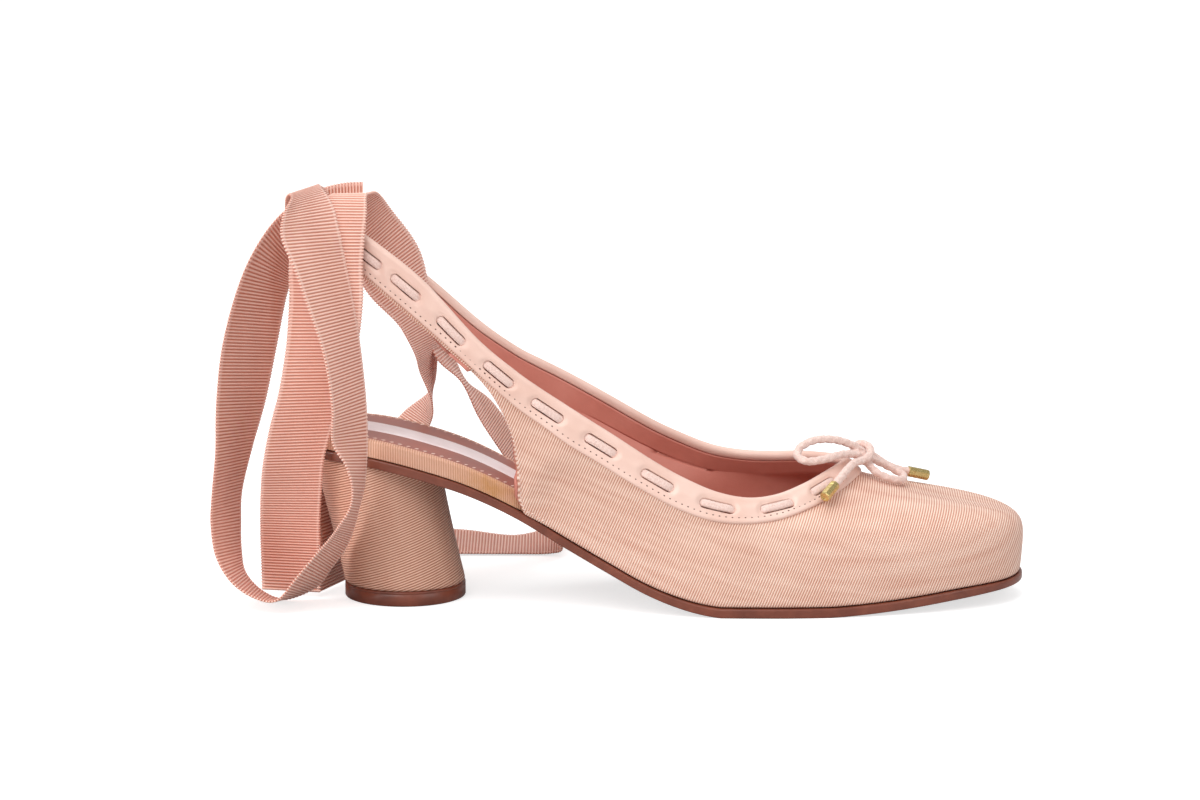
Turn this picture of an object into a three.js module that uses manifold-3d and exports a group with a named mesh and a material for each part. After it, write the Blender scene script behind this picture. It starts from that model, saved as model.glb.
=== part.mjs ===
// Slingback pump with ribbon ties, a right shoe, in millimetres.
// The toe points to +X, the outer side of the foot to -Y and the floor is z = 0.
// The origin is on the floor under the middle of the heel.
import * as THREE from 'three';
import { mergeVertices } from 'three/addons/utils/BufferGeometryUtils.js';
import Module from 'manifold-3d';

const wasm = await Module();
wasm.setup();

// Driving dimensions
const FIT_GAP = 0.3;
const OUTSOLE_THICK = 3.2;
const OUTSOLE_TOE_THICK = 2.5;
const BOARD_THICK = 6.0;
const BOARD_FORE_THICK = 2.6;
const SOCK_THICK = 0.8;
const SOCK_MARGIN = 3.0;
const UPPER_WALL = 2.0;
const FEATHER_INSET = 0.8;
const BAND_STEP = 1.2;
const WINDOW_LENGTH = 12.5;
const WINDOW_HEIGHT = 3.6;
const WINDOW_CUT_DEPTH = 12.0;
const WINDOW_CUT_SET_IN = 0.5;
const LACE_WIDTH = 2.4;
const LACE_THICK = 1.2;
const LACE_BEHIND = 0.5;
const LACE_PROUD = 0.5;
const CORD = 2.8;
const FERRULE_LENGTH = 7.0;
const FERRULE_ACROSS = 3.8;
const HEEL_LIFT_THICK = 5.0;
const HEEL_FOOT_RADIUS = 20.6;
const HEEL_SEAT_RADIUS = 22.1;
const HEEL_SEAT_BACK = 9.5;
const RIBBON_WIDTH = 25.0;
const RIBBON_THICK = 0.8;
const HEEL_SEAT_RING = 0.55;
const HEEL_LIFT_FLARE = 0.2;
const BOARD_EDGE_GAP = 0.4;
const BOARD_SIDE_SPARE = 0.2;
const WALL_REST_SPARE = 0.1;
const RECESS_CUT_PAST = 3.0;
const PLATE_CROWDING = 0.055;
const BELLY_SIDEWAYS = 1.5;

// Plan of the last, heel seat to toe: half width, side shift of the middle, height of the sole's underside.
const PLAN = [
  { x: -32.6, half: 0.0, mid: 0.0, z: 50.6 },
  { x: -31.0, half: 8.8, mid: 0.0, z: 50.5 },
  { x: -26.5, half: 16.8, mid: 0.0, z: 50.2 },
  { x: -19.0, half: 22.2, mid: 0.0, z: 49.8 },
  { x: -8.0, half: 25.4, mid: 0.0, z: 48.3 },
  { x: 6.0, half: 26.8, mid: -0.2, z: 44.9 },
  { x: 22.0, half: 26.3, mid: -0.7, z: 39.6 },
  { x: 38.0, half: 25.0, mid: -1.0, z: 31.8 },
  { x: 54.0, half: 25.8, mid: -1.7, z: 22.3 },
  { x: 68.0, half: 28.3, mid: -2.2, z: 14.5 },
  { x: 82.0, half: 32.0, mid: -2.0, z: 7.2 },
  { x: 95.0, half: 35.3, mid: -1.2, z: 2.4 },
  { x: 107.0, half: 37.4, mid: -0.4, z: 0.0 },
  { x: 118.0, half: 38.4, mid: 0.2, z: 0.0 },
  { x: 130.0, half: 38.6, mid: 0.4, z: 0.0 },
  { x: 144.0, half: 37.9, mid: 0.7, z: 0.0 },
  { x: 158.0, half: 36.4, mid: 1.2, z: 0.9 },
  { x: 172.0, half: 33.6, mid: 1.8, z: 2.2 },
  { x: 185.0, half: 29.8, mid: 2.3, z: 3.7 },
  { x: 196.0, half: 25.0, mid: 2.8, z: 4.8 },
  { x: 204.5, half: 18.6, mid: 3.0, z: 5.5 },
  { x: 209.6, half: 10.2, mid: 3.0, z: 5.9 },
  { x: 211.2, half: 0.0, mid: 3.0, z: 6.0 },
];
const HEEL_END = 0;
const TOE_END = PLAN.length - 1;

// Half of the upper, strap end to toe: top is the topline, band the lower edge of the laced band and
// foot the lower edge of the wall, each [x, half width, z], or a plan station where the wall meets the sole.
// inner lifts the far side's topline, roof is the share of the height that the wall climbs before it
// rolls over, square how tight that roll is, arc how far round it the section goes.
const UPPER = [
  { top: [-18.0, 18.0, 131.0], band: [-17.6, 18.4, 118.8], foot: [-17.5, 18.4, 117.3], inner: -6.0 },
  { top: [-7.5, 21.8, 124.4], band: [-9.0, 22.0, 111.6], foot: [-8.9, 22.0, 110.1], inner: -6.4 },
  { top: [8.0, 25.2, 112.3], band: [4.8, 25.2, 100.2], foot: [4.9, 25.2, 98.7], inner: -6.4 },
  { top: [25.8, 28.0, 93.3], band: [19.5, 27.6, 87.4], foot: [20.6, 27.6, 85.2], inner: -3.4 },
  { top: [38.3, 29.0, 82.9], band: [30.0, 29.2, 77.9], foot: [30.2, 28.6, 74.6], inner: -2.0 },
  { top: [46.0, 29.5, 77.4], band: [39.7, 30.2, 69.7], foot: [36.6, 28.6, 62.0], inner: -0.6 },
  { top: [53.6, 30.0, 72.5], band: [47.4, 31.2, 64.4], foot: [39.5, 28.2, 48.5], inner: 0.4 },
  { top: [62.0, 30.5, 67.1], band: [56.0, 32.4, 58.2], foot: [41.2, 27.6, 34.0], inner: 1.2 },
  { top: [71.0, 31.0, 61.5], band: [65.0, 33.4, 52.9], foot: 7.75, inner: 1.6 },
  { top: [84.8, 31.8, 52.6], band: [80.0, 35.2, 43.8], foot: 8.9, inner: 2.4 },
  { top: [95.2, 32.0, 46.8], band: [92.0, 36.4, 37.4], foot: 10.0, inner: 3.2 },
  { top: [105.6, 31.0, 42.1], band: [104.0, 36.6, 33.1], foot: 11.4, inner: 4.0 },
  { top: [116.0, 29.6, 39.8], band: [115.8, 35.7, 31.9], foot: 13.0, inner: 4.6 },
  { top: [125.6, 26.6, 40.3], band: [127.0, 32.6, 32.8], foot: 14.6, inner: 4.2 },
  { top: [134.6, 21.0, 42.7], band: [137.6, 26.8, 35.6], foot: 16.2, inner: 3.0 },
  { top: [142.3, 13.4, 45.4], band: [147.2, 17.6, 39.2], foot: 18.2, inner: 1.2 },
  { top: [147.6, 5.8, 47.1], band: [153.2, 7.8, 41.8], foot: 20.4, inner: 0.2 },
  { top: [149.4, 0.0, 47.5], band: [155.2, 0.0, 42.4], foot: TOE_END, inner: 0.0 },
];
const SHAPE = [
  { row: 0, roof: 1.0, square: 2.0, arc: 40, belly: 0.0 },
  { row: 7, roof: 1.0, square: 2.0, arc: 40, belly: 0.6 },
  { row: 9, roof: 1.0, square: 2.0, arc: 45, belly: 1.0 },
  { row: 11, roof: 1.0, square: 2.2, arc: 55, belly: 0.8 },
  { row: 13, roof: 0.96, square: 2.6, arc: 75, belly: 0.4 },
  { row: 15, roof: 0.78, square: 4.0, arc: 90, belly: 0.3 },
  { row: 17, roof: 0.65, square: 8.0, arc: 90, belly: 1.2 },
];
const LAST_ROW = UPPER.length - 1;
const FIRST_FEATHER_ROW = 8;
const STATION_BEFORE_FEATHER = 7;
const LOWEST_STRAP_FOOT = 60;
const ROOF_RISE = 1.78;

// Middles of the lace windows along the band, by x on the outer side, mirrored to the inner side.
const WINDOWS = [-11.0, 1.9, 17.0, 32.8, 49.0, 66.8, 85.7, 105.6, 125.8, 141.6];

// Ribbon ties: middle, direction across from the near to the far edge, width where gathered.
const TIE_ONE = [
  { at: [-14.0, 13.6, 128.2], across: [0.0, 0.1, -1.0] },
  { at: [-21.0, 14.8, 127.6], across: [0.0, 0.1, -1.0] },
  { at: [-28.0, 14.2, 126.0], across: [0.05, 0.2, -0.98] },
  { at: [-36.0, 10.0, 122.8], across: [0.28, 0.55, -0.79] },
  { at: [-42.5, 4.0, 116.5], across: [0.42, 0.72, -0.55] },
  { at: [-47.5, 0.0, 105.5], across: [0.6, 0.76, -0.25] },
  { at: [-52.0, -3.0, 87.0], across: [0.68, 0.72, -0.15] },
  { at: [-55.0, -5.0, 68.5], across: [0.61, 0.78, -0.12] },
  { at: [-57.5, -6.5, 52.0], across: [0.44, 0.9, -0.08] },
  { at: [-60.0, -8.2, 37.0], across: [0.34, 0.94, -0.08] },
  { at: [-60.4, -9.8, 27.0], across: [0.33, 0.93, -0.12] },
  { at: [-59.3, -13.2, 17.0], across: [0.27, 0.96, -0.12] },
  { at: [-55.7, -17.6, 9.6], across: [0.11, 0.98, -0.08] },
  { at: [-48.6, -21.0, 4.4], across: [0.03, 0.99, -0.13] },
  { at: [-41.0, -23.0, 3.2], across: [0.05, 0.97, -0.2] },
  { at: [-32.4, -23.4, 9.2], across: [0.22, 0.92, -0.32] },
  { at: [-26.9, -24.2, 16.2], across: [0.18, 0.92, -0.36] },
  { at: [-21.8, -27.4, 23.2], across: [0.17, 0.93, -0.32] },
  { at: [-18.4, -32.0, 29.8], across: [0.14, 0.96, -0.25] },
  { at: [-15.4, -35.0, 37.0], across: [0.06, 0.97, -0.22] },
  { at: [-14.0, -37.2, 44.4], across: [0.1, 0.97, -0.2] },
  { at: [-14.5, -38.6, 52.4], across: [0.22, 0.96, -0.18] },
  { at: [-16.4, -39.4, 61.0], across: [0.42, 0.9, -0.12] },
  { at: [-16.6, -39.8, 74.0], across: [0.4, 0.92, 0.0] },
  { at: [-18.8, -39.5, 92.0], across: [0.43, 0.9, 0.0] },
  { at: [-22.9, -38.8, 109.0], across: [0.56, 0.83, 0.0] },
  { at: [-25.8, -38.0, 119.6], across: [0.62, 0.78, 0.0] },
  { at: [-28.8, -36.4, 129.2], across: [0.73, 0.68, -0.04] },
  { at: [-29.8, -32.6, 136.6], across: [0.62, 0.78, 0.0] },
  { at: [-30.6, -26.0, 141.4], across: [0.38, 0.92, 0.0] },
  { at: [-32.0, -17.0, 142.0], across: [0.34, 0.94, 0.0] },
  { at: [-31.8, -8.5, 138.4], across: [0.6, 0.8, 0.0], width: 22 },
  { at: [-30.6, -3.2, 130.0], across: [0.85, 0.5, 0.0], width: 19 },
  { at: [-29.5, -0.5, 119.0], across: [0.97, 0.2, 0.0], width: 18 },
  { at: [-29.3, 1.5, 105.0], across: [0.97, 0.2, 0.0], width: 19 },
  { at: [-29.8, 4.5, 90.0], across: [0.9, 0.42, 0.0], width: 21 },
  { at: [-30.6, 8.0, 75.0], across: [0.7, 0.7, 0.0], width: 24 },
  { at: [-30.4, 12.5, 61.0], across: [0.5, 0.86, 0.0] },
  { at: [-29.9, 14.3, 50.0], across: [0.47, 0.88, 0.0] },
  { at: [-28.2, 14.6, 41.0], across: [0.46, 0.88, 0.0] },
  { at: [-25.4, 14.2, 30.5], across: [0.46, 0.88, 0.0] },
  { at: [-23.8, 12.5, 19.0], across: [0.44, 0.9, 0.0] },
  { at: [-24.4, 10.5, 9.0], across: [0.4, 0.92, 0.0] },
  { at: [-24.9, 9.5, 1.0], across: [0.38, 0.92, 0.0] },
];
const TIE_TWO = [
  { at: [6.4, 29.6, 96.4], across: [0.69, 0.03, -0.72], width: 14 },
  { at: [9.4, 34.0, 88.2], across: [0.45, 0.8, -0.4], width: 17 },
  { at: [12.2, 33.6, 78.5], across: [0.19, 0.97, 0.0], width: 22 },
  { at: [19.2, 36.6, 67.5], across: [0.02, 0.98, -0.15] },
  { at: [27.0, 41.0, 56.0], across: [0.14, 0.98, 0.07] },
  { at: [38.0, 50.0, 37.5], across: [0.17, 0.97, 0.09] },
  { at: [49.0, 61.0, 17.5], across: [0.2, 0.94, 0.2] },
  { at: [54.2, 69.0, 7.0], across: [0.1, 0.96, 0.24] },
  { at: [49.0, 72.5, 3.4], across: [0.0, 0.98, 0.18] },
  { at: [36.0, 73.0, 1.6], across: [0.0, 1.0, 0.05] },
  { at: [18.0, 73.0, 2.6], across: [0.0, 0.99, 0.13] },
  { at: [0.0, 72.5, 3.2], across: [0.0, 0.98, 0.17] },
  { at: [-14.0, 69.5, 5.2], across: [-0.05, 0.97, 0.2] },
  { at: [-20.5, 64.0, 13.0], across: [-0.2, 0.95, 0.15] },
  { at: [-18.5, 58.0, 23.5], across: [-0.3, 0.94, 0.1] },
  { at: [-9.0, 51.5, 38.0], across: [-0.38, 0.92, 0.1] },
  { at: [2.0, 45.0, 52.0], across: [-0.38, 0.92, 0.05] },
  { at: [8.0, 35.0, 62.5], across: [-0.05, 1.0, 0.0] },
  { at: [7.5, 24.5, 75.0], across: [0.2, 0.98, 0.0] },
  { at: [7.2, 17.0, 81.5], across: [0.26, 0.96, 0.0] },
  { at: [5.8, 12.0, 88.5], across: [0.34, 0.93, 0.05] },
  { at: [2.8, 9.0, 97.5], across: [0.44, 0.87, 0.2] },
  { at: [-4.2, 6.0, 112.0], across: [0.72, 0.5, 0.48] },
  { at: [-11.0, 1.5, 125.5], across: [0.74, 0.2, 0.64], width: 20 },
  { at: [-14.0, -4.0, 135.5], across: [0.82, -0.1, 0.5], width: 14 },
  { at: [-16.2, -11.0, 139.4], across: [0.97, -0.1, 0.1], width: 11 },
  { at: [-17.8, -17.4, 139.6], across: [0.98, -0.08, 0.0], width: 13 },
  { at: [-20.6, -21.8, 134.6], across: [0.99, -0.05, 0.0], width: 19 },
  { at: [-23.4, -24.6, 127.2], across: [1.0, -0.03, 0.0], width: 23.5 },
  { at: [-24.6, -25.6, 118.0], across: [1.0, 0.0, 0.0], width: 24.5 },
  { at: [-24.6, -25.6, 105.8], across: [1.0, 0.0, 0.0], width: 24.5 },
  { at: [-26.2, -25.4, 90.8], across: [1.0, 0.05, 0.0], width: 24 },
  { at: [-29.6, -25.2, 75.5], across: [0.98, 0.15, 0.0], width: 22.5 },
  { at: [-33.5, -24.6, 62.9], across: [0.97, 0.2, 0.0], width: 21.5 },
  { at: [-36.4, -22.6, 50.5], across: [0.97, 0.15, 0.0], width: 20.5 },
  { at: [-37.6, -18.0, 39.5], across: [0.98, 0.0, 0.0], width: 20.5 },
  { at: [-38.3, -13.5, 30.5], across: [0.98, -0.1, 0.0], width: 20.5 },
  { at: [-38.7, -9.0, 21.0], across: [0.97, -0.18, 0.0], width: 20.8 },
  { at: [-38.9, -5.6, 11.5], across: [0.97, -0.22, 0.0], width: 20.8 },
  { at: [-38.9, -4.2, 2.0], across: [0.97, -0.22, 0.0], width: 20.8 },
];

// Bow at the throat: the cord's two loops and two ends, as points along the middle of the cord.
const BOW_LOOP_NEAR = [
  [153.2, -2.2, 52.0], [146.6, -5.8, 54.8], [139.6, -9.2, 55.4], [134.2, -12.4, 53.4], [133.4, -15.4, 50.9],
  [136.8, -16.9, 49.6], [142.2, -14.4, 49.8], [148.0, -9.4, 50.4], [152.0, -5.4, 49.9],
];
const BOW_LOOP_FAR = [
  [158.6, 2.4, 46.9], [163.0, 5.0, 44.6], [167.4, 5.6, 42.2], [170.2, 3.2, 40.6], [169.4, -0.9, 40.0],
  [165.4, -3.6, 41.0], [161.2, -4.0, 42.9], [158.9, -2.7, 44.8],
];
const BOW_END_NEAR = [
  [155.0, -5.0, 47.0], [152.6, -9.4, 47.4], [150.0, -14.0, 46.0], [147.6, -18.4, 44.1], [145.4, -22.0, 42.3],
];
const BOW_END_FAR = [
  [156.0, 4.0, 48.8], [159.6, 7.6, 47.0], [164.6, 10.8, 43.2], [169.0, 12.8, 41.0], [172.8, 14.0, 40.0],
];
const KNOT = { at: [155.6, -0.6, 48.2], lean: -35, radii: [2.4, 3.4, 4.3] };

const COLOURS = {
  fabric: new THREE.MeshStandardMaterial({ color: 0xe8bea0, roughness: 0.62, metalness: 0 }),
  bandLeather: new THREE.MeshStandardMaterial({ color: 0xecc8b4, roughness: 0.5, metalness: 0 }),
  soleLeather: new THREE.MeshStandardMaterial({ color: 0x7d412d, roughness: 0.45, metalness: 0 }),
  sockLeather: new THREE.MeshStandardMaterial({ color: 0xa5695f, roughness: 0.5, metalness: 0 }),
  ribbon: new THREE.MeshStandardMaterial({ color: 0xebaf9b, roughness: 0.7, metalness: 0 }),
  gilt: new THREE.MeshStandardMaterial({ color: 0xc8af6e, roughness: 0.3, metalness: 1 }),
};

const clamp = THREE.MathUtils.clamp;
const lerp = THREE.MathUtils.lerp;

// Catmull-Rom value through a list at a fractional place, with the ends run on in a straight line,
// or turned back on themselves where even is true.
function splineAt(values, place, even = false) {
  const last = values.length - 1;
  const i = clamp(Math.floor(place), 0, last - 1);
  const f = place - i;
  const before = i > 0 ? values[i - 1] : even ? values[1] : 2 * values[0] - values[1];
  const after = i < last - 1 ? values[i + 2] : even ? values[last - 1] : 2 * values[last] - values[last - 1];
  const [a, b, c, d] = [before, values[i], values[i + 1], after];
  return b + 0.5 * f * (c - a + f * (2 * a - 5 * b + 4 * c - d + f * (3 * (b - c) + d - a)));
}

const PLAN_COLUMNS = {
  x: PLAN.map((row) => row.x),
  half: PLAN.map((row) => row.half),
  mid: PLAN.map((row) => row.mid),
  z: PLAN.map((row) => row.z),
};

function planStation(t) {
  return {
    x: splineAt(PLAN_COLUMNS.x, t, true),
    half: splineAt(PLAN_COLUMNS.half, t),
    mid: splineAt(PLAN_COLUMNS.mid, t, true),
    z: Math.max(splineAt(PLAN_COLUMNS.z, t, true), 0),
  };
}

// Point on the plan's edge, moved inwards by inset; side is -1 for the outer, 1 for the inner edge.
function edgePoint(t, side, inset) {
  const step = 0.02;
  const low = planStation(Math.max(t - step, HEEL_END));
  const high = planStation(Math.min(t + step, TOE_END));
  const here = planStation(t);
  const tangent = new THREE.Vector2(high.x - low.x, high.mid - low.mid + side * (high.half - low.half));
  if (t - step < HEEL_END) tangent.set(0, side);
  if (t + step > TOE_END) tangent.set(0, -side);
  tangent.normalize();
  const inward = new THREE.Vector2(side * tangent.y, -side * tangent.x);
  return new THREE.Vector3(here.x + inset * inward.x, here.mid + side * here.half + inset * inward.y, here.z);
}

// Height of the sole's underside at any x.
function soleZ(x) {
  let [low, high] = [HEEL_END, TOE_END];
  for (let i = 0; i < 30; i += 1) {
    const t = (low + high) / 2;
    if (planStation(t).x < x) low = t;
    else high = t;
  }
  return planStation(low).z;
}

function outsoleThick(x) {
  return lerp(OUTSOLE_THICK, OUTSOLE_TOE_THICK, THREE.MathUtils.smoothstep(x, 185, 210));
}

function boardThick(x) {
  return lerp(BOARD_THICK, BOARD_FORE_THICK, THREE.MathUtils.smoothstep(x, 48, 80));
}

// Triangles between neighbouring rows of points; a row of one point closes in a fan.
function rowsToSurface(rows, closed = false) {
  const points = rows.flat();
  const faces = [];
  let start = 0;
  for (let i = 0; i + 1 < rows.length; i += 1) {
    const [a, b] = [rows[i].length, rows[i + 1].length];
    const next = start + a;
    const count = Math.max(a, b) - (closed ? 0 : 1);
    for (let j = 0; j < count; j += 1) {
      const k = (j + 1) % Math.max(a, b);
      if (a > 1) faces.push([start + j, start + k, next + (b > 1 ? j : 0)]);
      if (b > 1) faces.push([start + (a > 1 ? k : 0), next + k, next + j]);
    }
    start = next;
  }
  return { points, faces };
}

function turnedOver({ points, faces }) {
  return { points, faces: faces.map(([a, b, c]) => [a, c, b]) };
}

function toGeometry(points, faces) {
  const geometry = new THREE.BufferGeometry();
  geometry.setAttribute('position', new THREE.Float32BufferAttribute(points.flatMap((p) => p.toArray()), 3));
  geometry.setIndex(faces.flat());
  return geometry;
}

// Directed edges that only one face uses.
function borderEdges(faces) {
  const edges = new Map();
  for (const face of faces) {
    face.forEach((a, i) => edges.set(`${a},${face[(i + 1) % 3]}`, [a, face[(i + 1) % 3]]));
  }
  return [...edges.values()].filter(([a, b]) => !edges.has(`${b},${a}`));
}

// Closed solid between two skins of one surface, with its border stitched up.
function thicken(surface, outerAt, innerAt) {
  const count = surface.points.length;
  const points = [...surface.points.map(outerAt), ...surface.points.map(innerAt)];
  const faces = surface.faces.flatMap(([a, b, c]) => [[a, b, c], [c + count, b + count, a + count]]);
  for (const [a, b] of borderEdges(surface.faces)) {
    faces.push([b, a, a + count], [b, a + count, b + count]);
  }
  return toGeometry(points, faces);
}

function surfaceNormals(surface) {
  const normals = surface.points.map(() => new THREE.Vector3());
  for (const face of surface.faces) {
    const [a, b, c] = face.map((i) => surface.points[i]);
    const normal = b.clone().sub(a).cross(c.clone().sub(a));
    face.forEach((i) => normals[i].add(normal));
  }
  return normals.map((normal) => normal.normalize());
}

function toManifold(geometry) {
  const bare = geometry.clone();
  for (const name of Object.keys(bare.attributes)) {
    if (name !== 'position') bare.deleteAttribute(name);
  }
  const merged = mergeVertices(bare, 1e-4);
  const mesh = new wasm.Mesh({
    numProp: 3,
    vertProperties: new Float32Array(merged.attributes.position.array),
    triVerts: new Uint32Array(merged.index.array),
  });
  return new wasm.Manifold(mesh);
}

function fromManifold(solid) {
  const mesh = solid.getMesh();
  const geometry = new THREE.BufferGeometry();
  geometry.setAttribute('position', new THREE.BufferAttribute(new Float32Array(mesh.vertProperties), 3));
  geometry.setIndex([...mesh.triVerts]);
  return geometry;
}

// A layer that follows the plan, with inset(t) from the edge and its two faces at heights above the underside.
function plate({ steps, across, inset, low, high }) {
  const rows = [];
  for (let i = 0; i <= steps; i += 1) {
    const ease = i / steps;
    const t = TOE_END * (ease - PLATE_CROWDING * Math.sin(2 * Math.PI * ease));
    const near = edgePoint(t, -1, inset(t));
    const far = edgePoint(t, 1, inset(t));
    const ends = i === 0 || i === steps;
    rows.push(ends ? [near] : Array.from({ length: across + 1 }, (_, j) => near.clone().lerp(far, j / across)));
  }
  const lift = (height) => (p) => new THREE.Vector3(p.x, p.y, soleZ(p.x) + height(p.x));
  return thicken(turnedOver(rowsToSurface(rows)), lift(high), lift(low));
}

function makeOutsole() {
  return plate({ steps: 44, across: 2, inset: () => 0, low: () => 0, high: outsoleThick });
}

// Gap between the plan's edge and the insole board: little where the board's wrapped edge shows,
// and room for the upper's wall where the wall stands round it.
function boardInset(t) {
  const inside = FEATHER_INSET + UPPER_WALL + FIT_GAP + BOARD_SIDE_SPARE;
  return lerp(BOARD_EDGE_GAP, inside, THREE.MathUtils.smoothstep(planStation(t).x, 36, 46));
}

function boardBottom(x) {
  return outsoleThick(x) + FIT_GAP;
}

function boardTop(x) {
  return boardBottom(x) + boardThick(x);
}

function sockRecess(x) {
  return boardTop(x) - SOCK_THICK - FIT_GAP;
}

function makeBoard() {
  const board = plate({ steps: 44, across: 2, inset: boardInset, low: boardBottom, high: boardTop });
  const recess = plate({
    steps: 36,
    across: 2,
    inset: (t) => boardInset(t) + SOCK_MARGIN - FIT_GAP,
    low: sockRecess,
    high: (x) => boardTop(x) + RECESS_CUT_PAST,
  });
  return fromManifold(toManifold(board).subtract(toManifold(recess)));
}

function makeSock() {
  return plate({
    steps: 36,
    across: 2,
    inset: (t) => boardInset(t) + SOCK_MARGIN,
    low: (x) => sockRecess(x) + FIT_GAP,
    high: boardTop,
  });
}

// Slanted round heel: straight lines from the foot circle up to the seat under the sole.
function makeHeel() {
  const sides = 32;
  const ring = (radius, middle, height) => Array.from({ length: sides }, (_, k) => {
    const angle = (2 * Math.PI * k) / sides;
    const x = middle + radius * Math.cos(angle);
    return new THREE.Vector3(x, radius * Math.sin(angle), height(x));
  });
  const foot = HEEL_LIFT_THICK + FIT_GAP;
  const seat = (x) => soleZ(x) - FIT_GAP;
  const rows = [
    [new THREE.Vector3(0, 0, foot)],
    ring(HEEL_FOOT_RADIUS, 0, () => foot),
    ring(HEEL_SEAT_RADIUS, -HEEL_SEAT_BACK, seat),
    ring(HEEL_SEAT_RADIUS * HEEL_SEAT_RING, -HEEL_SEAT_BACK, seat),
    [new THREE.Vector3(-HEEL_SEAT_BACK, 0, seat(-HEEL_SEAT_BACK))],
  ];
  const { points, faces } = rowsToSurface(rows, true);
  return toGeometry(points, faces);
}

function makeHeelLift() {
  const base = HEEL_FOOT_RADIUS + HEEL_LIFT_FLARE;
  const lift = new THREE.CylinderGeometry(HEEL_FOOT_RADIUS, base, HEEL_LIFT_THICK, 32);
  return lift.rotateX(Math.PI / 2).translate(0, 0, HEEL_LIFT_THICK / 2);
}

function shapeAt(row, key) {
  const next = Math.max(SHAPE.findIndex((entry) => entry.row >= row), 1);
  const [a, b] = [SHAPE[next - 1], SHAPE[next]];
  return lerp(a[key], b[key], THREE.MathUtils.smoothstep(row, a.row, b.row));
}

function restHeight(x) {
  return soleZ(x) + outsoleThick(x) + FIT_GAP + WALL_REST_SPARE;
}

function featherPoint(station, side) {
  const point = edgePoint(station, side, FEATHER_INSET);
  point.z = restHeight(point.x);
  return point;
}

// The three guide lines of the upper as points at a fractional row of the table.
function guidePoint(line, row, side) {
  const points = UPPER.map((entry) => {
    if (typeof entry[line] === 'number') return featherPoint(entry[line], side).toArray();
    const [x, half, z] = entry[line];
    const lift = line === 'foot' && entry.foot[2] < LOWEST_STRAP_FOOT ? 0 : entry.inner;
    return [x, side * half, side > 0 ? z + lift : z];
  });
  return new THREE.Vector3(...[0, 1, 2].map((axis) => splineAt(points.map((p) => p[axis]), row)));
}

function footPoint(row, side) {
  if (row < FIRST_FEATHER_ROW) {
    const point = guidePoint('foot', row, side);
    point.z = Math.max(point.z, restHeight(point.x));
    return point;
  }
  const stations = UPPER.map((entry) => (typeof entry.foot === 'number' ? entry.foot : STATION_BEFORE_FEATHER));
  return featherPoint(Math.min(splineAt(stations, row), TOE_END), side);
}

// The upper's outer face: row runs from the strap end to the toe, v from the foot (0) over the
// band's lower edge (1) to the topline (2).
function upperPoint(row, side, v) {
  const band = guidePoint('band', row, side);
  if (v > 1) return band.lerp(guidePoint('top', row, side), v - 1);
  const foot = footPoint(row, side);
  const square = shapeAt(row, 'square');
  const arc = THREE.MathUtils.degToRad(shapeAt(row, 'arc'));
  const onRoll = (angle) => {
    const [c, s] = [Math.max(Math.cos(angle), 0), Math.sin(angle)];
    const radius = (c ** square + s ** square) ** (-1 / square);
    return [1 - radius * c, radius * s];
  };
  const [inFull, upFull] = onRoll(arc);
  const [inwards, upwards] = onRoll(arc * v);
  const along = inwards / inFull;
  const roof = shapeAt(row, 'roof');
  const climb = roof * (upwards / upFull) + (1 - roof) * along ** ROOF_RISE;
  const point = foot.clone().lerp(band, along);
  point.z = lerp(foot.z, band.z, climb);
  const outward = foot.clone().sub(band).setZ(0);
  outward.y += side * BELLY_SIDEWAYS;
  const belly = shapeAt(row, 'belly') * Math.sin(Math.PI * v);
  return point.add(outward.normalize().multiplyScalar(belly));
}

const HALF_COLUMNS = 36;
const V_LINES = [0, 0.16, 0.34, 0.52, 0.7, 0.86, 1.0, 1.06, 1.5, 2.0];

// Row and side of a column; columns run from the outer strap end round the toe to the inner one.
function columnPlace(column) {
  const side = column <= HALF_COLUMNS ? -1 : 1;
  const fromEnd = side < 0 ? column : 2 * HALF_COLUMNS - column;
  return { row: (LAST_ROW * fromEnd) / HALF_COLUMNS, side };
}

function makeUpperShell() {
  const rows = [];
  for (let column = 0; column <= 2 * HALF_COLUMNS; column += 1) {
    const { row, side } = columnPlace(column);
    rows.push(V_LINES.map((v) => upperPoint(row, side, v)));
  }
  const surface = turnedOver(rowsToSurface(rows));
  const normals = surfaceNormals(surface);
  const lineOf = (i) => V_LINES[i % V_LINES.length];
  const index = new Map(surface.points.map((point, i) => [point, i]));
  const outerAt = (point) => {
    const i = index.get(point);
    const step = lineOf(i) > 1 ? BAND_STEP : 0;
    return point.clone().addScaledVector(normals[i], step);
  };
  const innerAt = (point) => {
    const i = index.get(point);
    const normal = normals[i].clone();
    if (lineOf(i) === 0) normal.setZ(0).normalize();
    const inner = point.clone().addScaledVector(normal, -UPPER_WALL);
    if (lineOf(i) === 0) inner.z = Math.max(inner.z, restHeight(inner.x));
    return inner;
  };
  return thicken(surface, outerAt, innerAt);
}

// Frame on the band's middle line: place, direction along it, up across it and out of the wall.
function bandFrame(row, side) {
  const step = 0.02;
  const at = upperPoint(row, side, 1.5);
  const ahead = upperPoint(Math.min(row + step, LAST_ROW), side, 1.5);
  const behind = upperPoint(Math.max(row - step, 0), side, 1.5);
  const along = ahead.sub(behind).normalize();
  const up = upperPoint(row, side, 2).sub(upperPoint(row, side, 1));
  up.addScaledVector(along, -up.dot(along)).normalize();
  const out = along.clone().cross(up).multiplyScalar(-side);
  return { at, along, up, out };
}

function rowAtX(x) {
  let [low, high] = [0, LAST_ROW];
  for (let i = 0; i < 30; i += 1) {
    const row = (low + high) / 2;
    if (upperPoint(row, -1, 1.5).x < x) low = row;
    else high = row;
  }
  return low;
}

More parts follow.
